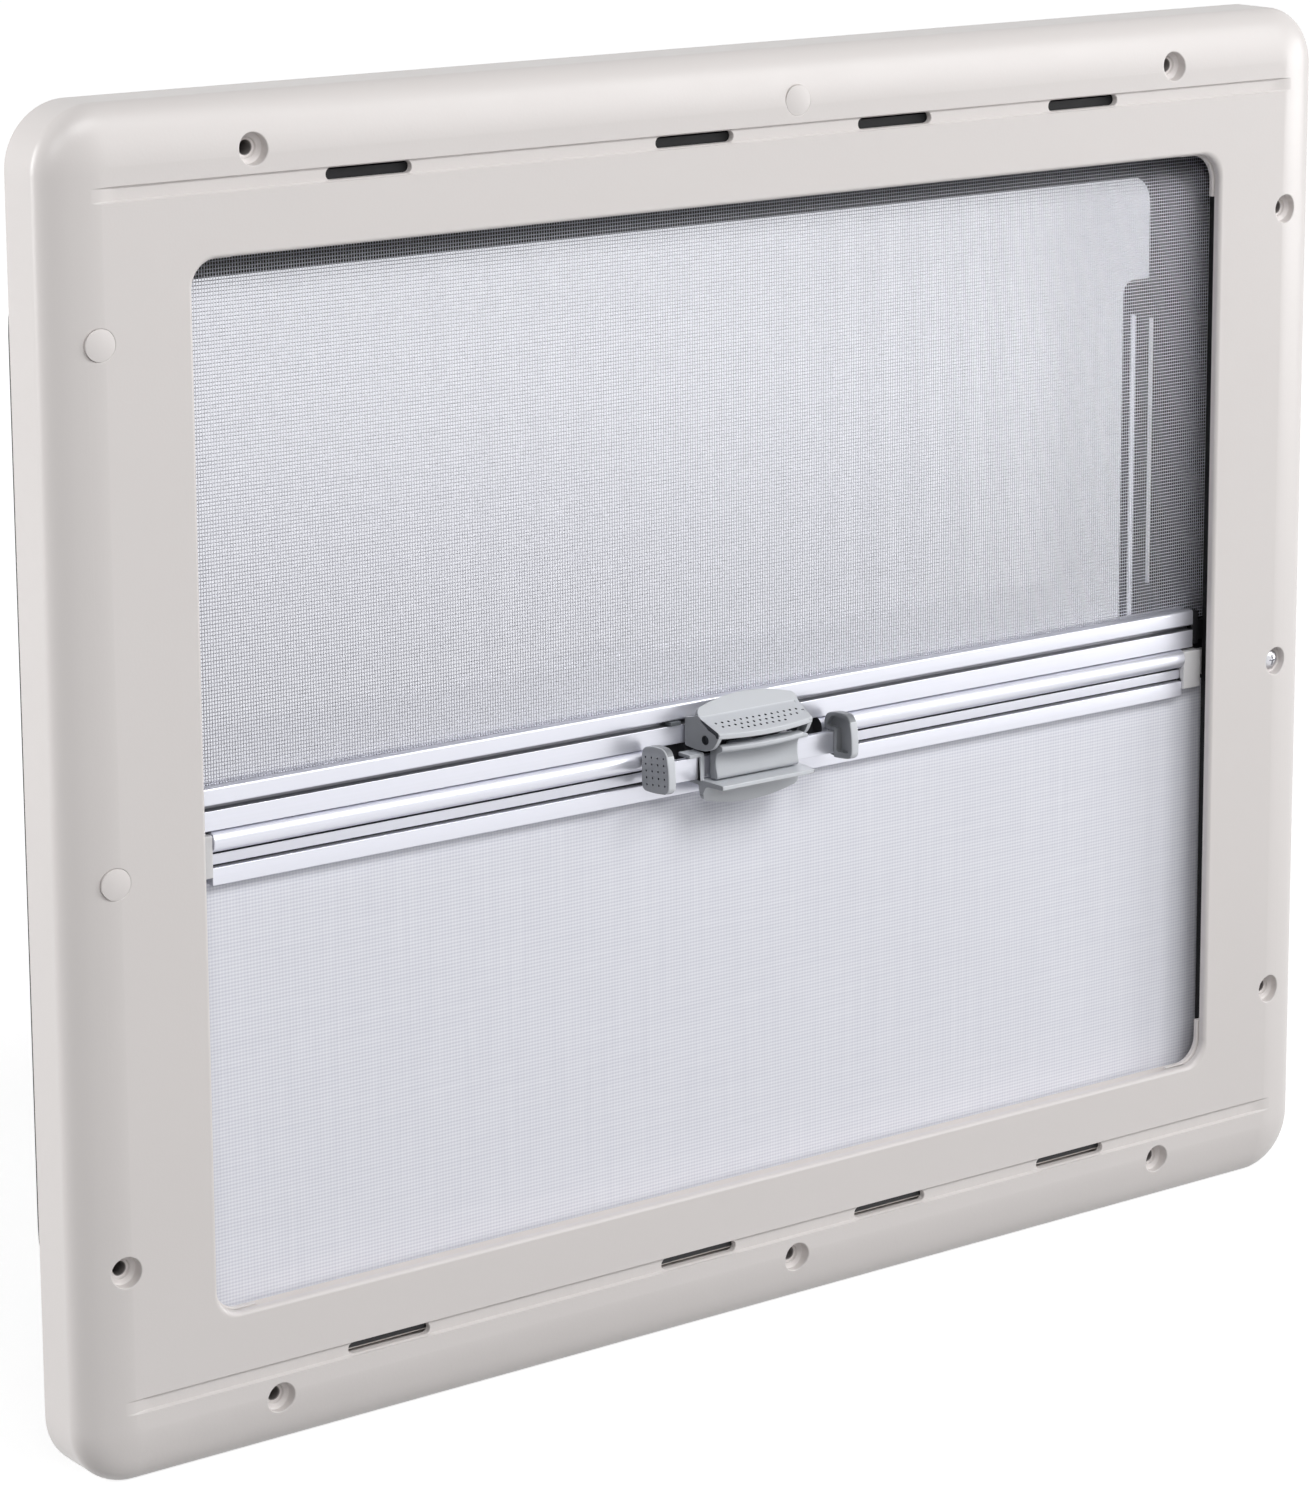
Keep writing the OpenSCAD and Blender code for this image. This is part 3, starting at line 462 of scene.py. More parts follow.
# Materials
# A moulding's fine stipple and soft patches in features to the metre, and the stipple's height
STIPPLE, PATCHES, GRAIN = (900.0, 900.0, 900.0), (14.0, 14.0, 14.0), 0.00002
YARN_PITCH = 0.0014


def darker(colour, share):
    """A linear colour less this share of itself."""
    return tuple(c * (1.0 - share) for c in colour[:3]) + (1.0,)


class Finish:
    """A material's nodes, with one Principled shader and helpers that add what a finish needs."""

    def __init__(self, name, colour, roughness, metallic=0.0, ior=1.46, transmission=0.0):
        self.material = bpy.data.materials.new(name)
        self.material.use_nodes = True
        self.nodes, self.links = self.material.node_tree.nodes, self.material.node_tree.links
        self.shader = self.nodes["Principled BSDF"]
        self.set("Base Color", colour)
        self.set("Roughness", roughness)
        self.set("Metallic", metallic)
        self.set("IOR", ior)
        self.set("Transmission Weight", transmission)
        self.place = self.nodes.new("ShaderNodeTexCoord").outputs["Object"]

    def set(self, socket, value):
        """Sets a number or colour that is the same all over on the shader's own socket."""
        self.shader.inputs[socket].default_value = value

    def axes(self):
        """The place's X, Y and Z on their own."""
        node = self.nodes.new("ShaderNodeSeparateXYZ")
        self.links.new(self.place, node.inputs[0])
        return node.outputs

    def math(self, operation, *values):
        """A sum, product or other operation on numbers and sockets."""
        node = self.nodes.new("ShaderNodeMath")
        node.operation = operation
        for socket, value in zip(node.inputs, values):
            if isinstance(value, (int, float)):
                socket.default_value = value
            else:
                self.links.new(value, socket)
        return node.outputs[0]

    def noise(self, stretch, detail=2.0, rough=0.5):
        """Noise whose features have the stated number to the metre along X, Y and Z."""
        turn = self.nodes.new("ShaderNodeMapping")
        turn.inputs["Scale"].default_value = stretch
        self.links.new(self.place, turn.inputs["Vector"])
        node = self.nodes.new("ShaderNodeTexNoise")
        node.inputs["Scale"].default_value = 1.0
        node.inputs["Detail"].default_value = detail
        node.inputs["Roughness"].default_value = rough
        self.links.new(turn.outputs["Vector"], node.inputs["Vector"])
        return node.outputs["Fac"]

    def yarns(self, along, across, pitch, slub):
        """Noise along each yarn, which starts at a place of its own so that neighbours don't match."""
        row = self.math("FLOOR", self.math("DIVIDE", across, pitch))
        chance = self.nodes.new("ShaderNodeTexWhiteNoise")
        chance.noise_dimensions = "1D"
        self.links.new(row, chance.inputs["W"])
        node = self.nodes.new("ShaderNodeTexNoise")
        node.noise_dimensions = "1D"
        node.inputs["Scale"].default_value = 1.0
        node.inputs["Detail"].default_value = 2.0
        start = self.math("MULTIPLY", chance.outputs["Value"], 97.0)
        self.links.new(self.math("ADD", self.math("DIVIDE", along, slub), start), node.inputs["W"])
        return node.outputs["Fac"]

    def range(self, value, low, high, from_low=0.0, from_high=1.0):
        """A value carried in a straight line from one pair of ends to another, and held at the ends."""
        node = self.nodes.new("ShaderNodeMapRange")
        self.links.new(value, node.inputs["Value"])
        for socket, number in (("From Min", from_low), ("From Max", from_high),
                               ("To Min", low), ("To Max", high)):
            node.inputs[socket].default_value = number
        return node.outputs["Result"]

    def mix(self, factor, first, second):
        """The first colour less the factor's share of it, plus that share of the second."""
        node = self.nodes.new("ShaderNodeMix")
        node.data_type = "RGBA"
        self.links.new(factor, node.inputs["Factor"])
        for socket, value in ((node.inputs[6], first), (node.inputs[7], second)):
            if isinstance(value, tuple):
                socket.default_value = value
            else:
                self.links.new(value, socket)
        return node.outputs[2]

    def patches(self, colour, share):
        """The colour with soft patches that are darker by up to this share."""
        return self.mix(self.noise(PATCHES, detail=3.0), darker(colour, share), colour)

    def bump(self, height, distance, strength=1.0):
        """Small heights in metres that tilt the surface's normal."""
        node = self.nodes.new("ShaderNodeBump")
        node.inputs["Distance"].default_value = distance
        node.inputs["Strength"].default_value = strength
        self.links.new(height, node.inputs["Height"])
        self.links.new(node.outputs["Normal"], self.shader.inputs["Normal"])

    def feed(self, socket, value):
        """Joins a node's result to the shader."""
        self.links.new(value, self.shader.inputs[socket])

    def deepen(self, colour, dark):
        """The colour gives way to a dark one by the piece's own tone, nought where it has none; the tone
        is mostly painted shade.
        """
        node = self.nodes.new("ShaderNodeAttribute")
        node.attribute_name = "tone"
        self.feed("Base Color", self.mix(node.outputs["Fac"], colour, dark))


def moulded(name, colour, roughness=0.42, gloss=0.5, dark=None):
    """Moulded plastic: a fine stipple in the surface and a faint unevenness of colour and gloss; with a
    dark colour, also the piece's tone, mostly painted shade.
    """
    f = Finish(name, colour, roughness)
    f.set("Specular IOR Level", gloss)
    uneven = f.patches(colour, 0.03)
    if dark:
        f.deepen(uneven, dark)
    else:
        f.feed("Base Color", uneven)
    f.feed("Roughness", f.range(f.noise((60.0, 60.0, 60.0)), roughness - 0.05, roughness + 0.05))
    f.bump(f.noise(STIPPLE, detail=1.0), GRAIN)
    return f.material


def anodised(name, colour, roughness, metallic):
    """Anodised aluminium: fine lines drawn along X in the gloss and the surface, and painted shade by
    the piece's tone.
    """
    f = Finish(name, colour, roughness, metallic)
    lines = f.noise((1.5, 900.0, 900.0), detail=3.0, rough=0.6)
    f.feed("Roughness", f.range(lines, roughness - 0.08, roughness + 0.1))
    f.deepen(f.mix(lines, darker(colour, 0.07), colour), srgb(24, 25, 28))
    f.bump(lines, 0.000006)
    return f.material


def shaded_cassette(name, colour, shade_colour, low, high):
    """Moulded plastic with painted shade between two heights, with soft edges there."""
    f = Finish(name, colour, 0.45)
    z = f.axes()["Z"]
    low, high = (low + CENTRE[2]) * MM, (high + CENTRE[2]) * MM
    share = f.math("MULTIPLY", f.range(z, 0.0, 1.0, low - 0.0002, low + 0.0002),
                   f.range(z, 1.0, 0.0, high - 0.002, high + 0.001))
    f.feed("Base Color", f.mix(share, f.patches(colour, 0.04), shade_colour))
    f.bump(f.noise(STIPPLE, detail=1.0), GRAIN)
    return f.material


def plain_metal(name, colour, roughness):
    """Plated steel with small wear marks in its gloss."""
    f = Finish(name, colour, roughness, 1.0)
    worn = f.noise((700.0, 700.0, 700.0), detail=3.0)
    f.feed("Roughness", f.range(worn, roughness - 0.08, roughness + 0.15))
    return f.material


def clear_acrylic(name):
    """Clear acrylic sheet with a faint grey tint and nearly smooth faces."""
    f = Finish(name, (0.885, 0.89, 0.915, 1.0), 0.02, ior=1.49, transmission=1.0)
    f.feed("Roughness", f.range(f.noise((9.0, 9.0, 9.0)), 0.0, 0.03))
    return f.material


def blind_cloth(name):
    """Blackout cloth: crossed yarns of uneven thickness pressed into a white coating.

    The tone is a wave across each set of yarns, plus a little of each yarn's own unevenness.
    """
    f = Finish(name, srgb(229, 230, 239), 0.75)
    x, _, z = f.axes()
    parts = [(f.math("SINE", f.math("MULTIPLY", z, 2 * math.pi / YARN_PITCH)), 0.33),
             (f.math("SINE", f.math("MULTIPLY", x, 2 * math.pi / YARN_PITCH)), 0.17),
             (f.yarns(x, z, YARN_PITCH, 0.06), 0.22), (f.yarns(z, x, YARN_PITCH, 0.09), 0.22)]
    weave = 0.28
    for value, share in parts:
        weave = f.math("ADD", f.math("MULTIPLY", value, share), weave)
    f.feed("Base Color", f.mix(weave, srgb(214, 215, 226), srgb(243, 244, 250)))
    f.bump(weave, 0.00008, 0.5)
    return f.material


def screen_thread(name):
    """Coated thread of the flyscreen."""
    f = Finish(name, srgb(226, 226, 236), 0.5)
    f.feed("Base Color", f.mix(f.noise((300.0, 300.0, 300.0)), srgb(228, 228, 238), srgb(242, 242, 250)))
    return f.material


# Dark colours are what a piece's tone darkens to: mostly painted shade, and on the catch also its darker
# side faces
MATERIALS = {
    "trim_plastic": moulded("trim plastic", srgb(222, 217, 215), 0.34, 0.55, srgb(52, 48, 47)),
    "cap_plastic": moulded("cap plastic", srgb(226, 221, 219)),
    "screw_zinc": plain_metal("screw zinc", srgb(200, 200, 204), 0.3),
    "cassette_black": moulded("cassette black", srgb(24, 24, 26), 0.6, gloss=0.3),
    # painted shade: a dark band on the cassette's front, seen through the lower vents
    "cassette_beige": shaded_cassette("cassette beige", srgb(224, 217, 212), srgb(40, 40, 42),
                                     -229.7, -211.0),
    "roller_grey": moulded("roller grey", srgb(150, 150, 156)),
    "screen_mesh": screen_thread("flyscreen thread"),
    "blind_cloth": blind_cloth("blackout cloth"),
    "bar_aluminium": anodised("bar aluminium", srgb(224, 225, 234), 0.32, 0.7),
    "glider_black": moulded("glider black", srgb(30, 30, 32)),
    "end_grey": moulded("end grey", srgb(212, 211, 212)),
    "catch_grey": moulded("catch grey", srgb(212, 215, 220), 0.36, dark=srgb(52, 55, 60)),
    "catch_dark": moulded("catch dark", srgb(98, 102, 106)),
    "pin_steel": plain_metal("pin steel", srgb(74, 76, 80), 0.45),
    "frame_black": moulded("frame black", srgb(28, 28, 30), 0.5),
    "seal_rubber": moulded("seal rubber", srgb(20, 20, 21), 0.7),
    "pane_acrylic": clear_acrylic("pane acrylic"),
    "stay_metal": anodised("stay metal", srgb(252, 252, 254), 0.16, 0.95),
}

NODE_FINISH = {
    "cap_plastic": ["cap_top", "cap_left_upper", "cap_left_middle"],
    "screw_zinc": ["fixing_screw"],
    "cassette_black": ["screen_cassette", "guide_left", "guide_right"],
    "cassette_beige": ["blind_cassette"],
    "roller_grey": ["screen_roller"],
    "blind_cloth": ["blind_roller"],
    "catch_dark": ["catch_base"],
    "pin_steel": ["catch_pin"],
    "frame_black": ["outer_frame", "head_rail", "sill_rail", "pane_spacer", "hinge_rail",
                    "stay_rail_left", "stay_rail_right", "pane_latch_left", "pane_latch_right"],
    "seal_rubber": ["pane_seal"],
    "pane_acrylic": ["pane_inner", "pane_outer"],
    "stay_metal": ["stay_tubes", "stay_rods"],
}

# Node, body, finish and width of the round along its edges
SOFT_NODES = [
    ("bar_clip", "window", "catch_dark", 0.2),
    ("blind_end_left", "window", "end_grey", 1.0),
    ("blind_end_right", "window", "end_grey", 1.0),
    ("screen_glider_left", "window", "glider_black", 0.3),
    ("screen_glider_right", "window", "glider_black", 0.3),
    ("corner_blocks", "window", "trim_plastic", 0.4),
    ("grip_strip_left", "grip_l", "bar_aluminium", 0.25),
    ("grip_strip_right", "grip_r", "bar_aluminium", 0.25),
]


# Catch: places in Y and Z from the window's centre
LEVER_FRONT, LEVER_FRONT_R = -43.4, 150.0
LEVER_FOOT = (-30.2, -2.8)
SHELF_FALL = 0.398
ARCH_TOP, ARCH_R, ARCH_END = 4.2, 84.0, 3.2
LEVER_HALF, LEVER_LEAN, LEVER_REACH = 24.5, 0.1228, 25.0
DOT_PITCH, DOT_R = 3.1, 0.56
PIN_Y, PIN_Z, PIN_HOLE_R = -33.5, -11.2, 1.95
CHEEK_T = 2.0
BLOCK_HALF = 20.6
TRAY_Z, TRAY_FRONT, TRAY_LOW, TRAY_HALF = -28.4, -43.3, -39.9, 24.4
STRIP_TOP = -19.0
GRIP_IN, GRIP_OUT, GRIP_FLOOR = 44.2, 48.0, 46.5

# Tones of the catch: side faces, of a darker tone; painted shade in holes, on the lever's plate, in the
# grips' hollows and on the tray's apron; the lever's shadow painted on the block's belly; and the
# block's face
SIDE_TONE, HOLE_SHADE, PLATE_SHADE, HOLLOW_SHADE = 0.56, 1.0, 0.17, 0.66
BELLY_SHADOW, BLOCK_TONE, APRON_SHADE = 0.3, 0.06, 0.1


def cheek_x(y):
    """Half width of the lever: LEVER_HALF at the pin, less by LEVER_LEAN for each mm to the front."""
    return LEVER_HALF + LEVER_LEAN * (y - PIN_Y)


def arch_line(x, top, low_end):
    """Height of an arched edge: top - x^2 / 2R, and at the end a quarter of a circle down."""
    away = np.abs(x)
    flat = top - np.minimum(away, low_end - ARCH_END) ** 2 / (2 * ARCH_R)
    past = np.clip(away - (low_end - ARCH_END), 0.0, ARCH_END)
    return flat - ARCH_END + np.sqrt(ARCH_END ** 2 - past ** 2)


def lever_shell():
    """The lever's shelf and arched plate as outlines in Y and Z at each place across.

    The shelf's front edge is an arc in plan, the plate's top an arc in front view, and the outline's
    corners are where those arcs put them.
    """
    v = np.sin(np.linspace(-np.pi / 2, np.pi / 2, 49))
    x = v * LEVER_REACH
    front = LEVER_FRONT + x ** 2 / (2 * LEVER_FRONT_R)
    foot_y, foot_z = LEVER_FOOT
    edge_z = foot_z + SHELF_FALL * (front - foot_y)
    rise = np.maximum((arch_line(x, ARCH_TOP, LEVER_REACH) - foot_z) / (ARCH_TOP - foot_z), 0.03)
    still = np.ones_like(x)
    corners = np.array([
        [front, edge_z - 2.2], [front, edge_z], [foot_y * still, foot_z * still],
        [foot_y + 4.4 * rise, foot_z + (ARCH_TOP - foot_z) * rise],
        [foot_y + 4.4 * rise + 1.7, foot_z + (ARCH_TOP - foot_z) * rise - 0.9],
        [(foot_y + 1.9) * still, (foot_z - 1.7) * still],
        [front + 2.0, edge_z - 1.3], [front + 1.7, edge_z - 2.4]]).transpose(2, 0, 1)
    loops = soften(corners, [0.5, 0.6, 0.7, 0.45, 0.5, 1.2, 0.3, 0.4])
    wide = np.minimum(cheek_x(loops[..., 0]), LEVER_REACH)
    return lofted(loops, v[:, None] * wide, 0.25)


def shelf_top(x, y):
    """A point on the shelf's upper side."""
    return np.stack([x, y, LEVER_FOOT[1] + SHELF_FALL * (y - LEVER_FOOT[0])], -1)


def catch_tone(normal, hole=False, front=0.0):
    """Faces that look along X are of a darker tone, and a hole's inside gets painted shade, darker
    still.
    """
    tone = np.maximum(SIDE_TONE * smooth((np.abs(normal[:, 0]) - 0.6) / 0.3), front)
    return np.where(hole, HOLE_SHADE, tone)


def build_lever():
    """Shelf and arched plate, a cheek at each side with the pin's hole, and rows of small dimples."""
    outline = soften([(-21.7, -3.5), (-25.6, -2.8), (-29.0, -1.6), (-33.2, -4.3), (-41.9, -7.6),
                      (-40.2, -11.2), (-37.9, -14.2), (-33.8, -15.8), (-28.5, -16.0), (-21.7, -15.2)],
                     [0.8, 1.2, 1.0, 1.6, 0.6, 1.6, 1.8, 2.0, 2.0, 1.0])
    cheek = plate_across(outline, LEVER_HALF - CHEEK_T, LEVER_HALF, 0.35, LEVER_LEAN, PIN_Y)
    k = np.arange(14) - 6.5
    rows = [(k, -34.9), (k[:-1] + 0.5, -37.5), (k[3:11], -40.0)]
    dots = np.concatenate([shelf_top(row * DOT_PITCH, np.full_like(row, y)) for row, y in rows])
    up, sunk = (0, 0, 1), [0.0, 0.0, 1.2]
    cutters = {"dimples": rods(dots - sunk, DOT_R, up, 2.0),
               "notch": rods([shelf_top(22.7, -36.3) - sunk], 0.95, up, 2.0, 3)}

    def lever_tone(x, y, z, normal):
        """Painted shade in the dimples, whose floors and walls lie within 0.65 mm of a depth of 0.7 mm
        below the shelf.
        """
        dimple = (y < -33.5) & (y > -41.0) & (np.abs(z - shelf_top(x, y)[..., 2] + 0.7) < 0.65)
        # painted shade on the upright plate, which looks more to the front than the shelf
        plate = (z > LEVER_FOOT[1] + 0.5) & (normal[:, 1] < -0.5)
        return catch_tone(normal, dimple, np.where(plate, PLATE_SHADE, 0.0))

    def cheek_tone(x, y, z, normal):
        """Painted shade in the hole, whose inside is what lies no further from the pin's axis than its
        wall.
        """
        return catch_tone(normal, np.hypot(y - PIN_Y, z - PIN_Z) < PIN_HOLE_R + 0.02)

    carved("lever_shelf", lever_shell(), cutters, "catch_grey", lever_tone, ["catch_lever"], "lever")
    pin_hole = {"pin hole": rods([(-30.0, PIN_Y, PIN_Z)], PIN_HOLE_R, (1, 0, 0), 60.0, 32)}
    for name, part in (("lever_cheek_right", cheek), ("lever_cheek_left", mirrored(cheek))):
        carved(name, part, pin_hole, "catch_grey", cheek_tone, ["catch_lever"], "lever")


def build_block():
    """Outline with a lip along its top, whose front edge is an arc in plan, over a hollow front."""
    x = np.linspace(-BLOCK_HALF, BLOCK_HALF, 33)
    lip = -42.3 + x ** 2 / 160.0
    still = np.ones_like(x)
    corners = np.array([
        [lip, -13.4 * still], [-36.6 * still, -13.2 * still], [-31.4 * still, -14.8 * still],
        [-31.4 * still, -27.6 * still], [-35.5 * still, -27.7 * still], [-36.6 * still, -26.6 * still],
        [-35.0 * still, -21.5 * still], [-35.9 * still, -17.0 * still], [lip + 1.0, -15.8 * still],
        [lip, -15.1 * still]]).transpose(2, 0, 1)
    loops = soften(corners, [0.6, 0.5, 0.4, 0.4, 0.7, 1.0, 4.0, 2.4, 0.8, 0.7], 8)
    body = lofted(loops, x, 0.35)
    web = soften([(-31.6, -27.4), (-31.6, -16.6), (-22.5, -16.6), (-22.5, -27.4)], 0.4)
    block = make_piece("catch_block_body", *joined(body, plate_across(web, -6, 6)),
                       MATERIALS["catch_grey"], ["catch_block"], "catch_grey", sharp=35)
    # painted shadow of the lever on the block's belly below the lip
    shade(block, "FACE", lambda x, y, z, normal: catch_tone(
        normal, front=np.where(z < -16.0, BELLY_SHADOW, BLOCK_TONE)))


def build_tray():
    """A shelf with an arched plate below it, and at each end a wall with a window under a flange."""
    v = np.sin(np.linspace(-np.pi / 2, np.pi / 2, 49))
    x = v * TRAY_HALF
    low = np.minimum(-arch_line(x, -TRAY_LOW, TRAY_HALF), TRAY_Z - 2.6)
    still = np.ones_like(x)
    corners = np.array([
        [-20.4 * still, TRAY_Z * still], [TRAY_FRONT * still, TRAY_Z * still],
        [TRAY_FRONT * still, (TRAY_Z - 1.8) * still], [-33.2 * still, (TRAY_Z - 2.2) * still],
        [-31.4 * still, low], [-29.4 * still, low], [-28.6 * still, (TRAY_Z - 2.0) * still],
        [-20.4 * still, (TRAY_Z - 2.0) * still]]).transpose(2, 0, 1)
    loops = soften(corners, [0.3, 0.5, 0.4, 1.4, 0.5, 0.5, 0.6, 0.3])
    wide = TRAY_HALF + 0.08 * np.minimum(loops[..., 0] + 28.0, 0.0)
    shelf = lofted(loops, v[:, None] * wide, 0.3)
    wall = soften([(-30.5, -28.6), (-30.5, -17.2), (-22.6, -17.2), (-22.6, -28.6), (-25.6, -28.6),
                   (-25.6, STRIP_TOP), (-29.1, STRIP_TOP), (-29.1, -28.6)],
                  [0.1, 1.0, 1.0, 0.1, 0.1, 0.6, 0.6, 0.1])
    flange = soften([(-30.5, -18.8), (-30.5, -17.2), (-22.6, -17.2), (-22.6, -18.8)], 0.5)
    parts = [shelf]
    for part in (plate_across(wall, 22.6, 24.6, 0.3), plate_across(flange, 24.4, 29.9, 0.4)):
        parts += [part, mirrored(part)]
    tray = make_piece("catch_tray_body", *joined(*parts), MATERIALS["catch_grey"],
                      ["catch_tray"], "catch_grey", sharp=35)
    # painted shade on the arched apron, which leans down
    shade(tray, "FACE", lambda x, y, z, normal: catch_tone(
        normal, front=np.where(z < TRAY_Z - 2.5, APRON_SHADE, 0.0)))


def build_grips():
    """A finger plate with rounded rims, a hollow and a step for the strip inside, dimples outside."""
    outline = soften([(-22.5, -28.0), (-22.5, -14.4), (-24.4, -11.8), (-31.0, -10.4), (-37.0, -10.5),
                      (-39.4, -12.4), (-40.6, -17.6), (-41.0, -22.0), (-40.9, -27.0), (-38.6, -28.9),
                      (-30.0, -29.9), (-24.0, -29.9)],
                     [1.0, 1.6, 2.2, 3.0, 1.8, 2.2, 2.0, 2.4, 1.6, 1.6, 3.0, 1.2])
    body = plate_across(outline, GRIP_IN, GRIP_OUT, 0.6)
    hollow = soften([(-30.9, -27.0), (-30.9, -17.2), (-24.4, -17.2), (-24.4, -16.4),
                     (-27.6, -12.4), (-36.4, -12.4), (-38.4, -18.6), (-38.6, -26.6)],
                    [0.7, 1.0, 0.3, 0.4, 1.2, 1.6, 1.6, 1.2])
    step_top = STRIP_TOP + 0.2
    step = soften([(-29.1, -32.0), (-29.1, step_top), (-20.0, step_top), (-20.0, -32.0)], 0.3)
    row, col = np.meshgrid(np.arange(5), np.arange(4), indexing="ij")
    dots = np.stack([np.full(row.shape, GRIP_OUT - 0.6), -25.3 - col * 4.0 - 0.25 * row,
                     -14.4 - row * 2.75 - 0.5 * (3 - col)], -1)
    cutters = {"hollow": plate_across(hollow, 42.0, GRIP_FLOOR, 0.0),
               "strip step": plate_across(step, 42.0, GRIP_FLOOR - 0.2, 0.0),
               "dimples": rods(dots.reshape(-1, 3), 0.46, (1, 0, 0), 1.0)}

    def grip_tone(x, y, z, normal):
        """Painted shade in the hollow, which lies inside the finger plate, and in the dimples, within
        0.7 mm of its outer face.
        """
        x = np.abs(x)
        dimple = (x > GRIP_OUT - 0.7) & (x < GRIP_OUT - 0.1) & (y > -38.5) & (z < -13.0)
        return np.where((x < GRIP_FLOOR + 0.1) & (y > -39.5), HOLLOW_SHADE, catch_tone(normal, dimple))

    for side, turn in (("right", lambda part: part), ("left", mirrored)):
        carved(f"grip_{side}_plate", turn(body), {key: turn(cutter) for key, cutter in cutters.items()},
               "catch_grey", grip_tone, [f"grip_{side}"], f"grip_{side[0]}")


def finish_nodes():
    """Each CAD node that shows gets its finish on its own material slot."""
    for finish, names in NODE_FINISH.items():
        for name in names:
            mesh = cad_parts[name].data
            mesh.materials.clear()
            mesh.materials.append(MATERIALS[finish])


# Pieces


def build_trim_frame():
    """The band of rings less its grooves, vents and screw holes, with painted shade in the bores'
    insides.
    """
    def bore_shade(x, y, z, normal):
        """Painted shade within a bore's radius of a hole's axis, below the step."""
        nearest = np.hypot(*(np.stack([x, z])[:, :, None] - hole_centres().T[:, None])).min(-1)
        return 0.7 * ((nearest < 2.8) & (y > -23.3))

    cutters = {"groove cut": groove_cutters(), "slot cut": slot_cutters(), "hole cut": hole_cutters()}
    carved("trim_frame_skin", trim_shell(), cutters, "trim_plastic", bore_shade, ["trim_frame"],
           sharp=38.0)


def build_flyscreen():
    """Threads of a diamond section at even pitches, the uprights in front of the cross threads."""
    low, high = SCREEN_BAR_TOP - 5.0, ROLLER_Z
    half, deep = 0.2, 0.12
    diamond = np.array([[half, 0], [0, deep], [-half, 0], [0, -deep]])
    x = np.arange(-CLOTH_HALF + half, CLOTH_HALF - half, 1.2)
    uprights = np.empty((len(x), 2, 4, 3))
    uprights[..., 0] = x[:, None, None] + diamond[:, 0]
    uprights[..., 1] = CLOTH_Y - 0.12 + diamond[:, 1]
    uprights[..., 2] = np.array([low, high])[None, :, None]
    z = np.arange(low + half, high - half, 1.4)
    crossing = np.empty((len(z), 2, 4, 3))
    crossing[..., 0] = np.array([-CLOTH_HALF, CLOTH_HALF])[None, :, None]
    crossing[..., 1] = CLOTH_Y + 0.12 + diamond[:, 1]
    crossing[..., 2] = z[:, None, None] + diamond[:, 0]
    points = np.concatenate([uprights, crossing])
    screen = make_piece("flyscreen_mesh", points, tubes(points), MATERIALS["screen_mesh"],
                        ["flyscreen"], "screen_mesh", sharp=100)


def build_blind():
    """A stretched sheet: depth is a sum of two slow waves that fade out at its edges."""
    low, high = -ROLLER_Z, BLIND_BAR_BOTTOM + 5.0
    x, z = np.meshgrid(np.linspace(-CLOTH_HALF, CLOTH_HALF, 161), np.linspace(low, high, 81))
    u, v = x / CLOTH_HALF, (z - low) / (high - low)
    hold = (1 - u ** 4) * np.sin(np.pi * v)
    wave = 0.18 * np.sin(5.0 * u + 1.0 + 2.0 * v) + 0.1 * np.sin(11.0 * u - 3.0 * v)
    points = np.stack([x, CLOTH_Y + hold * wave, z], -1)
    blind = make_piece("blackout_cloth", points, [grid_faces(81, 161)], MATERIALS["blind_cloth"],
                       ["blackout_blind"], "blind_cloth", closed=False)
    thick = blind.modifiers.new("cloth thickness", "SOLIDIFY")
    thick.thickness, thick.offset = 0.4 * MM, 0.0


def cloth_slot(edge, depth):
    """Corners of the slot for a cloth in a bar's edge, cut to this signed depth."""
    front, back = CLOTH_Y - CLOTH_SLOT, CLOTH_Y + CLOTH_SLOT
    return [(front, edge), (front, edge + depth), (back, edge + depth), (back, edge)]


def build_screen_bar():
    """An extruded section with small rounds on every edge; painted shade in its groove deepens with its
    depth.
    """
    y0, y1 = BAR_Y, BAR_Y + BAR_DEPTH
    top, seam = SCREEN_BAR_TOP, SEAM_Z
    low, high = seam + 7.7, seam + 9.7
    section = soften([(y0, seam), (y0, low), (y0 + 4, low), (y0 + 4, high), (y0, high), (y0, top),
                      *cloth_slot(top, -5), (y1, top), (y1, seam)],
                     [0.4, 0.3, 0.2, 0.2, 0.9, 1.3, 0.3, 0.2, 0.2, 0.3, 0.5, 0.4], 5)
    bar = make_piece("screen_bar_profile", *carried_along_x(section, [-BAR_HALF, BAR_HALF]),
                     MATERIALS["bar_aluminium"], ["screen_bar"], "bar_aluminium", sharp=30)
    # painted shade in the groove, darker further in and towards its lower wall
    shade(bar, "POINT", lambda x, y, z, normal: np.where(
        (z > low - 0.1) & (z < high + 0.1) & (y < y0 + 4.2),
        smooth((y - y0) / 0.4) * (0.72 - 0.17 * (z - low)), 0.0))


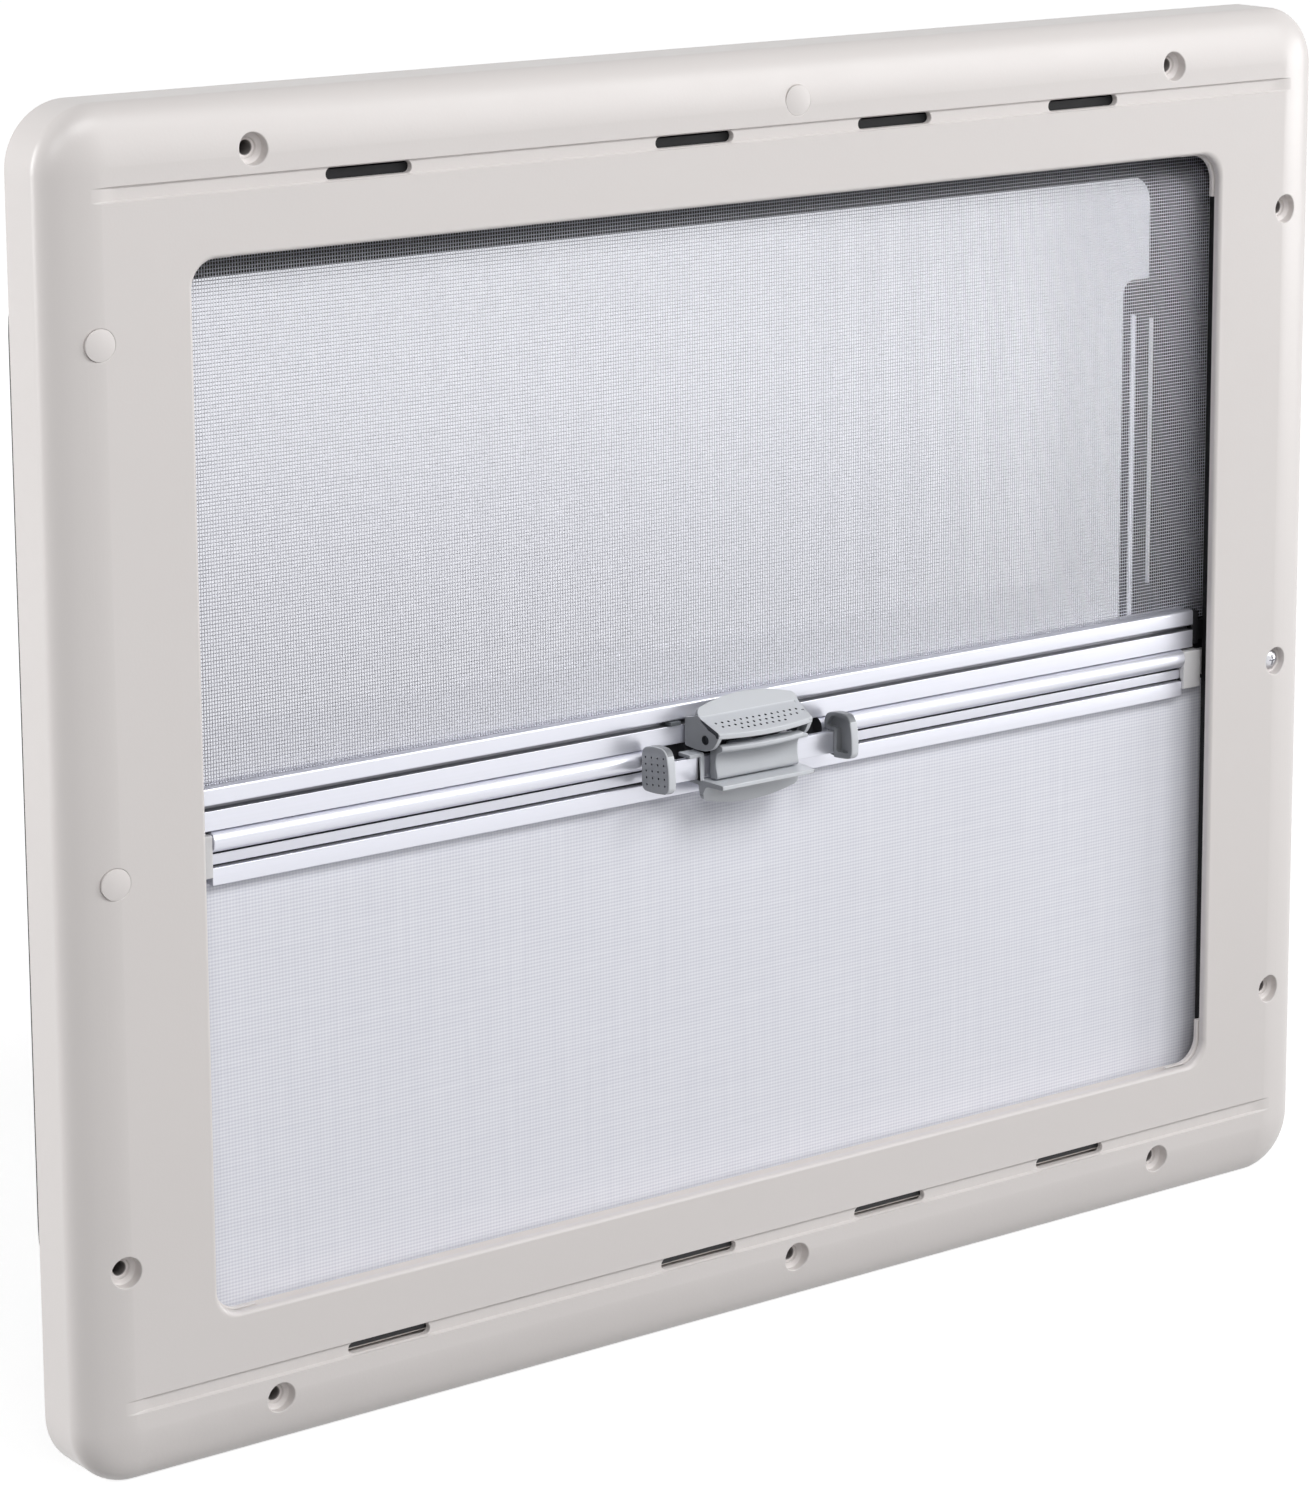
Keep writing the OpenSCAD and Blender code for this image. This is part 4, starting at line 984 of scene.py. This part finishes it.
def build_blind_bar():
    """An extruded section: a round nose, cut away beside the catch, over a strip between two lines."""
    y0, y1 = BAR_Y, BAR_Y + BAR_DEPTH
    top, low = SEAM_Z - 0.3, BLIND_BAR_BOTTOM
    a = np.linspace(math.radians(100), math.radians(260), 19)
    nose = np.stack([y0 + 2.2 + NOSE_R * np.cos(a), top - NOSE_R + NOSE_R * np.sin(a)], 1)
    rest = soften([(y0 + 3.2, top - 8.4), (y0 + 3.2, top - 9.2), (y0 + 1.6, top - 9.2),
                   (y0 + 1.6, top - 13.2), (y0 + 3.2, top - 13.4), (y0 + 3.2, top - 14.2),
                   (y0, top - 14.2), (y0, low), *cloth_slot(low, 5), (y1, low), (y1, top)],
                  [0.2, 0.1, 0.2, 0.2, 0.1, 0.1, 0.3, 0.5, 0.3, 0.2, 0.2, 0.3, 0.5, 0.5], 4)
    section = np.concatenate([nose, rest])
    gap = plate_across(soften([(y0 - 4, top - 8.2), (y0 + 4.2, top - 8.2), (y0 + 4.2, top + 2),
                               (y0 - 4, top + 2)], 0.2), *NOSE_GAP, 0.0)

    def bar_shade_and_tone(x, y, z, normal):
        """Painted shade in the cut-away by the catch and in the two lines, and the strip between them a
        little darker.
        """
        by_catch = (np.abs(x) < NOSE_GAP[1] + 0.1) & (z > top - 8.15) & (y < y0 + 5)
        lines = (z > top - 14.4) & (z < top - 8.3) & (y > y0 + 1.8) & (y < y0 + 3.4)
        strip = (z > top - 14.0) & (z < top - 8.6) & (y > y0 + 1.3) & (y < y0 + 3.4)
        return np.select([by_catch, lines, strip], [0.9, 0.95, 0.16], 0.0)

    carved("blind_bar_profile", carried_along_x(section, [-BLIND_BAR_HALF, BLIND_BAR_HALF]),
           {"gap right": gap, "gap left": mirrored(gap)}, "bar_aluminium", bar_shade_and_tone, ["blind_bar"],
           sharp=30.0, lead=False)


# Camera, light and floor


def place_camera():
    """The photograph's view: a long lens from the left and above, turned by yaw, pitch and roll."""
    yaw, pitch, roll = 0.64843, 0.20179, -0.00147
    away = np.array([math.sin(yaw) * math.cos(pitch), math.cos(yaw) * math.cos(pitch), -math.sin(pitch)])
    level = np.array([math.cos(yaw), -math.sin(yaw), 0.0])
    upright = np.cross(level, away)
    right = math.cos(roll) * level + math.sin(roll) * upright
    up = math.cos(roll) * upright - math.sin(roll) * level
    at = (-1.11065, -1.49375, 0.71024)
    sensor, focal_px, photo_px = 36.0, 4711.98, 1500.0
    lens = bpy.data.cameras.new("photo camera")
    lens.sensor_fit, lens.sensor_width, lens.sensor_height = "AUTO", sensor, sensor
    lens.lens = focal_px * sensor / photo_px
    lens.shift_x, lens.shift_y = -0.06, -0.16
    lens.clip_start, lens.clip_end = 0.05, 100.0
    camera = bpy.data.objects.new("photo camera", lens)
    rows = np.stack([right, up, -away, at], 1).tolist()
    camera.matrix_world = Matrix((*rows, (0.0, 0.0, 0.0, 1.0)))
    bpy.context.scene.collection.objects.link(camera)
    bpy.context.scene.camera = camera


LAMPS = {
    "key box": dict(at=(1.9, -2.2, 1.6), size=(1.0, 1.0), power=24.0),
    "high front box": dict(at=(0.3, -2.3, 2.5), size=(1.8, 1.0), power=45.0),
    "back left box": dict(at=(-2.3, 1.1, 0.9), size=(1.2, 1.4), power=48.0),
    "front left box": dict(at=(-1.6, -2.4, 1.9), size=(1.2, 1.2), power=20.0),
    "low right box": dict(at=(2.6, -1.0, 0.5), size=(1.0, 0.9), power=20.0),
}


def place_lamps():
    """Soft boxes that face the window's centre."""
    for name, lamp in LAMPS.items():
        light = bpy.data.lights.new(name, "AREA")
        light.shape, light.energy = "RECTANGLE", lamp["power"]
        light.size, light.size_y = lamp["size"]
        holder = bpy.data.objects.new(name, light)
        at = Vector(lamp["at"])
        aim = (Vector((0.0, 0.0, 0.2555)) - at).to_track_quat("-Z", "Y")
        holder.matrix_world = Matrix.Translation(at) @ aim.to_matrix().to_4x4()
        bpy.context.scene.collection.objects.link(holder)


def seen_directly(nodes, links):
    """One where a camera, mirror or see-through ray looks, nought for the light that falls on things."""
    path = nodes.new("ShaderNodeLightPath")
    total = nodes.new("ShaderNodeMath")
    total.operation, total.use_clamp = "ADD", True
    more = nodes.new("ShaderNodeMath")
    more.operation = "ADD"
    links.new(path.outputs["Is Glossy Ray"], more.inputs[0])
    links.new(path.outputs["Is Transmission Ray"], more.inputs[1])
    links.new(path.outputs["Is Camera Ray"], total.inputs[0])
    links.new(more.outputs[0], total.inputs[1])
    return total.outputs[0]


def light_world():
    """An even dome of soft light that looks white where it is seen."""
    world = bpy.data.worlds.new("studio")
    world.use_nodes = True
    nodes, links = world.node_tree.nodes, world.node_tree.links
    strength = nodes.new("ShaderNodeMapRange")
    strength.inputs["To Min"].default_value = 0.06
    strength.inputs["To Max"].default_value = 1.0
    links.new(seen_directly(nodes, links), strength.inputs["Value"])
    nodes["Background"].inputs["Color"].default_value = (1.0, 1.0, 1.0, 1.0)
    links.new(strength.outputs["Result"], nodes["Background"].inputs["Strength"])
    bpy.context.scene.world = world


def lay_floor():
    """A wide pale floor just under the frame, which looks a little whiter than it is lit."""
    reach, low = 30.0, float(cad_box[0].z)
    mesh = bpy.data.meshes.new("floor")
    corners = np.array([[-1, -1], [1, -1], [1, 1], [-1, 1]], float) * reach
    mesh.from_pydata([(x, y, low) for x, y in corners.tolist()], [], [(0, 1, 2, 3)])
    material = bpy.data.materials.new("floor paint")
    material.use_nodes = True
    nodes, links = material.node_tree.nodes, material.node_tree.links
    shader = nodes["Principled BSDF"]
    shader.inputs["Base Color"].default_value = (0.42, 0.42, 0.42, 1.0)
    shader.inputs["Roughness"].default_value = 0.9
    shader.inputs["Specular IOR Level"].default_value = 0.0
    away = nodes.new("ShaderNodeVectorMath")
    away.operation = "LENGTH"
    links.new(nodes.new("ShaderNodeTexCoord").outputs["Object"], away.inputs[0])
    far = nodes.new("ShaderNodeMapRange")
    for socket, number in (("From Min", 0.4), ("From Max", 2.2), ("To Min", 0.8), ("To Max", 1.0)):
        far.inputs[socket].default_value = number
    links.new(away.outputs["Value"], far.inputs["Value"])
    glow = nodes.new("ShaderNodeMath")
    glow.operation = "MULTIPLY"
    links.new(far.outputs["Result"], glow.inputs[1])
    links.new(seen_directly(nodes, links), glow.inputs[0])
    shader.inputs["Emission Color"].default_value = (1.0, 1.0, 1.0, 1.0)
    links.new(glow.outputs[0], shader.inputs["Emission Strength"])
    mesh.materials.append(material)
    floor = bpy.data.objects.new("floor", mesh)
    bpy.context.scene.collection.objects.link(floor)


place_camera()
place_lamps()
light_world()
lay_floor()
finish_nodes()
build_trim_frame()
build_flyscreen()
build_blind()
build_screen_bar()
build_blind_bar()
for soft_node in SOFT_NODES:
    soft_copy(*soft_node)
build_lever()
build_block()
build_tray()
build_grips()

bpy.context.scene.view_settings.view_transform = "Standard"
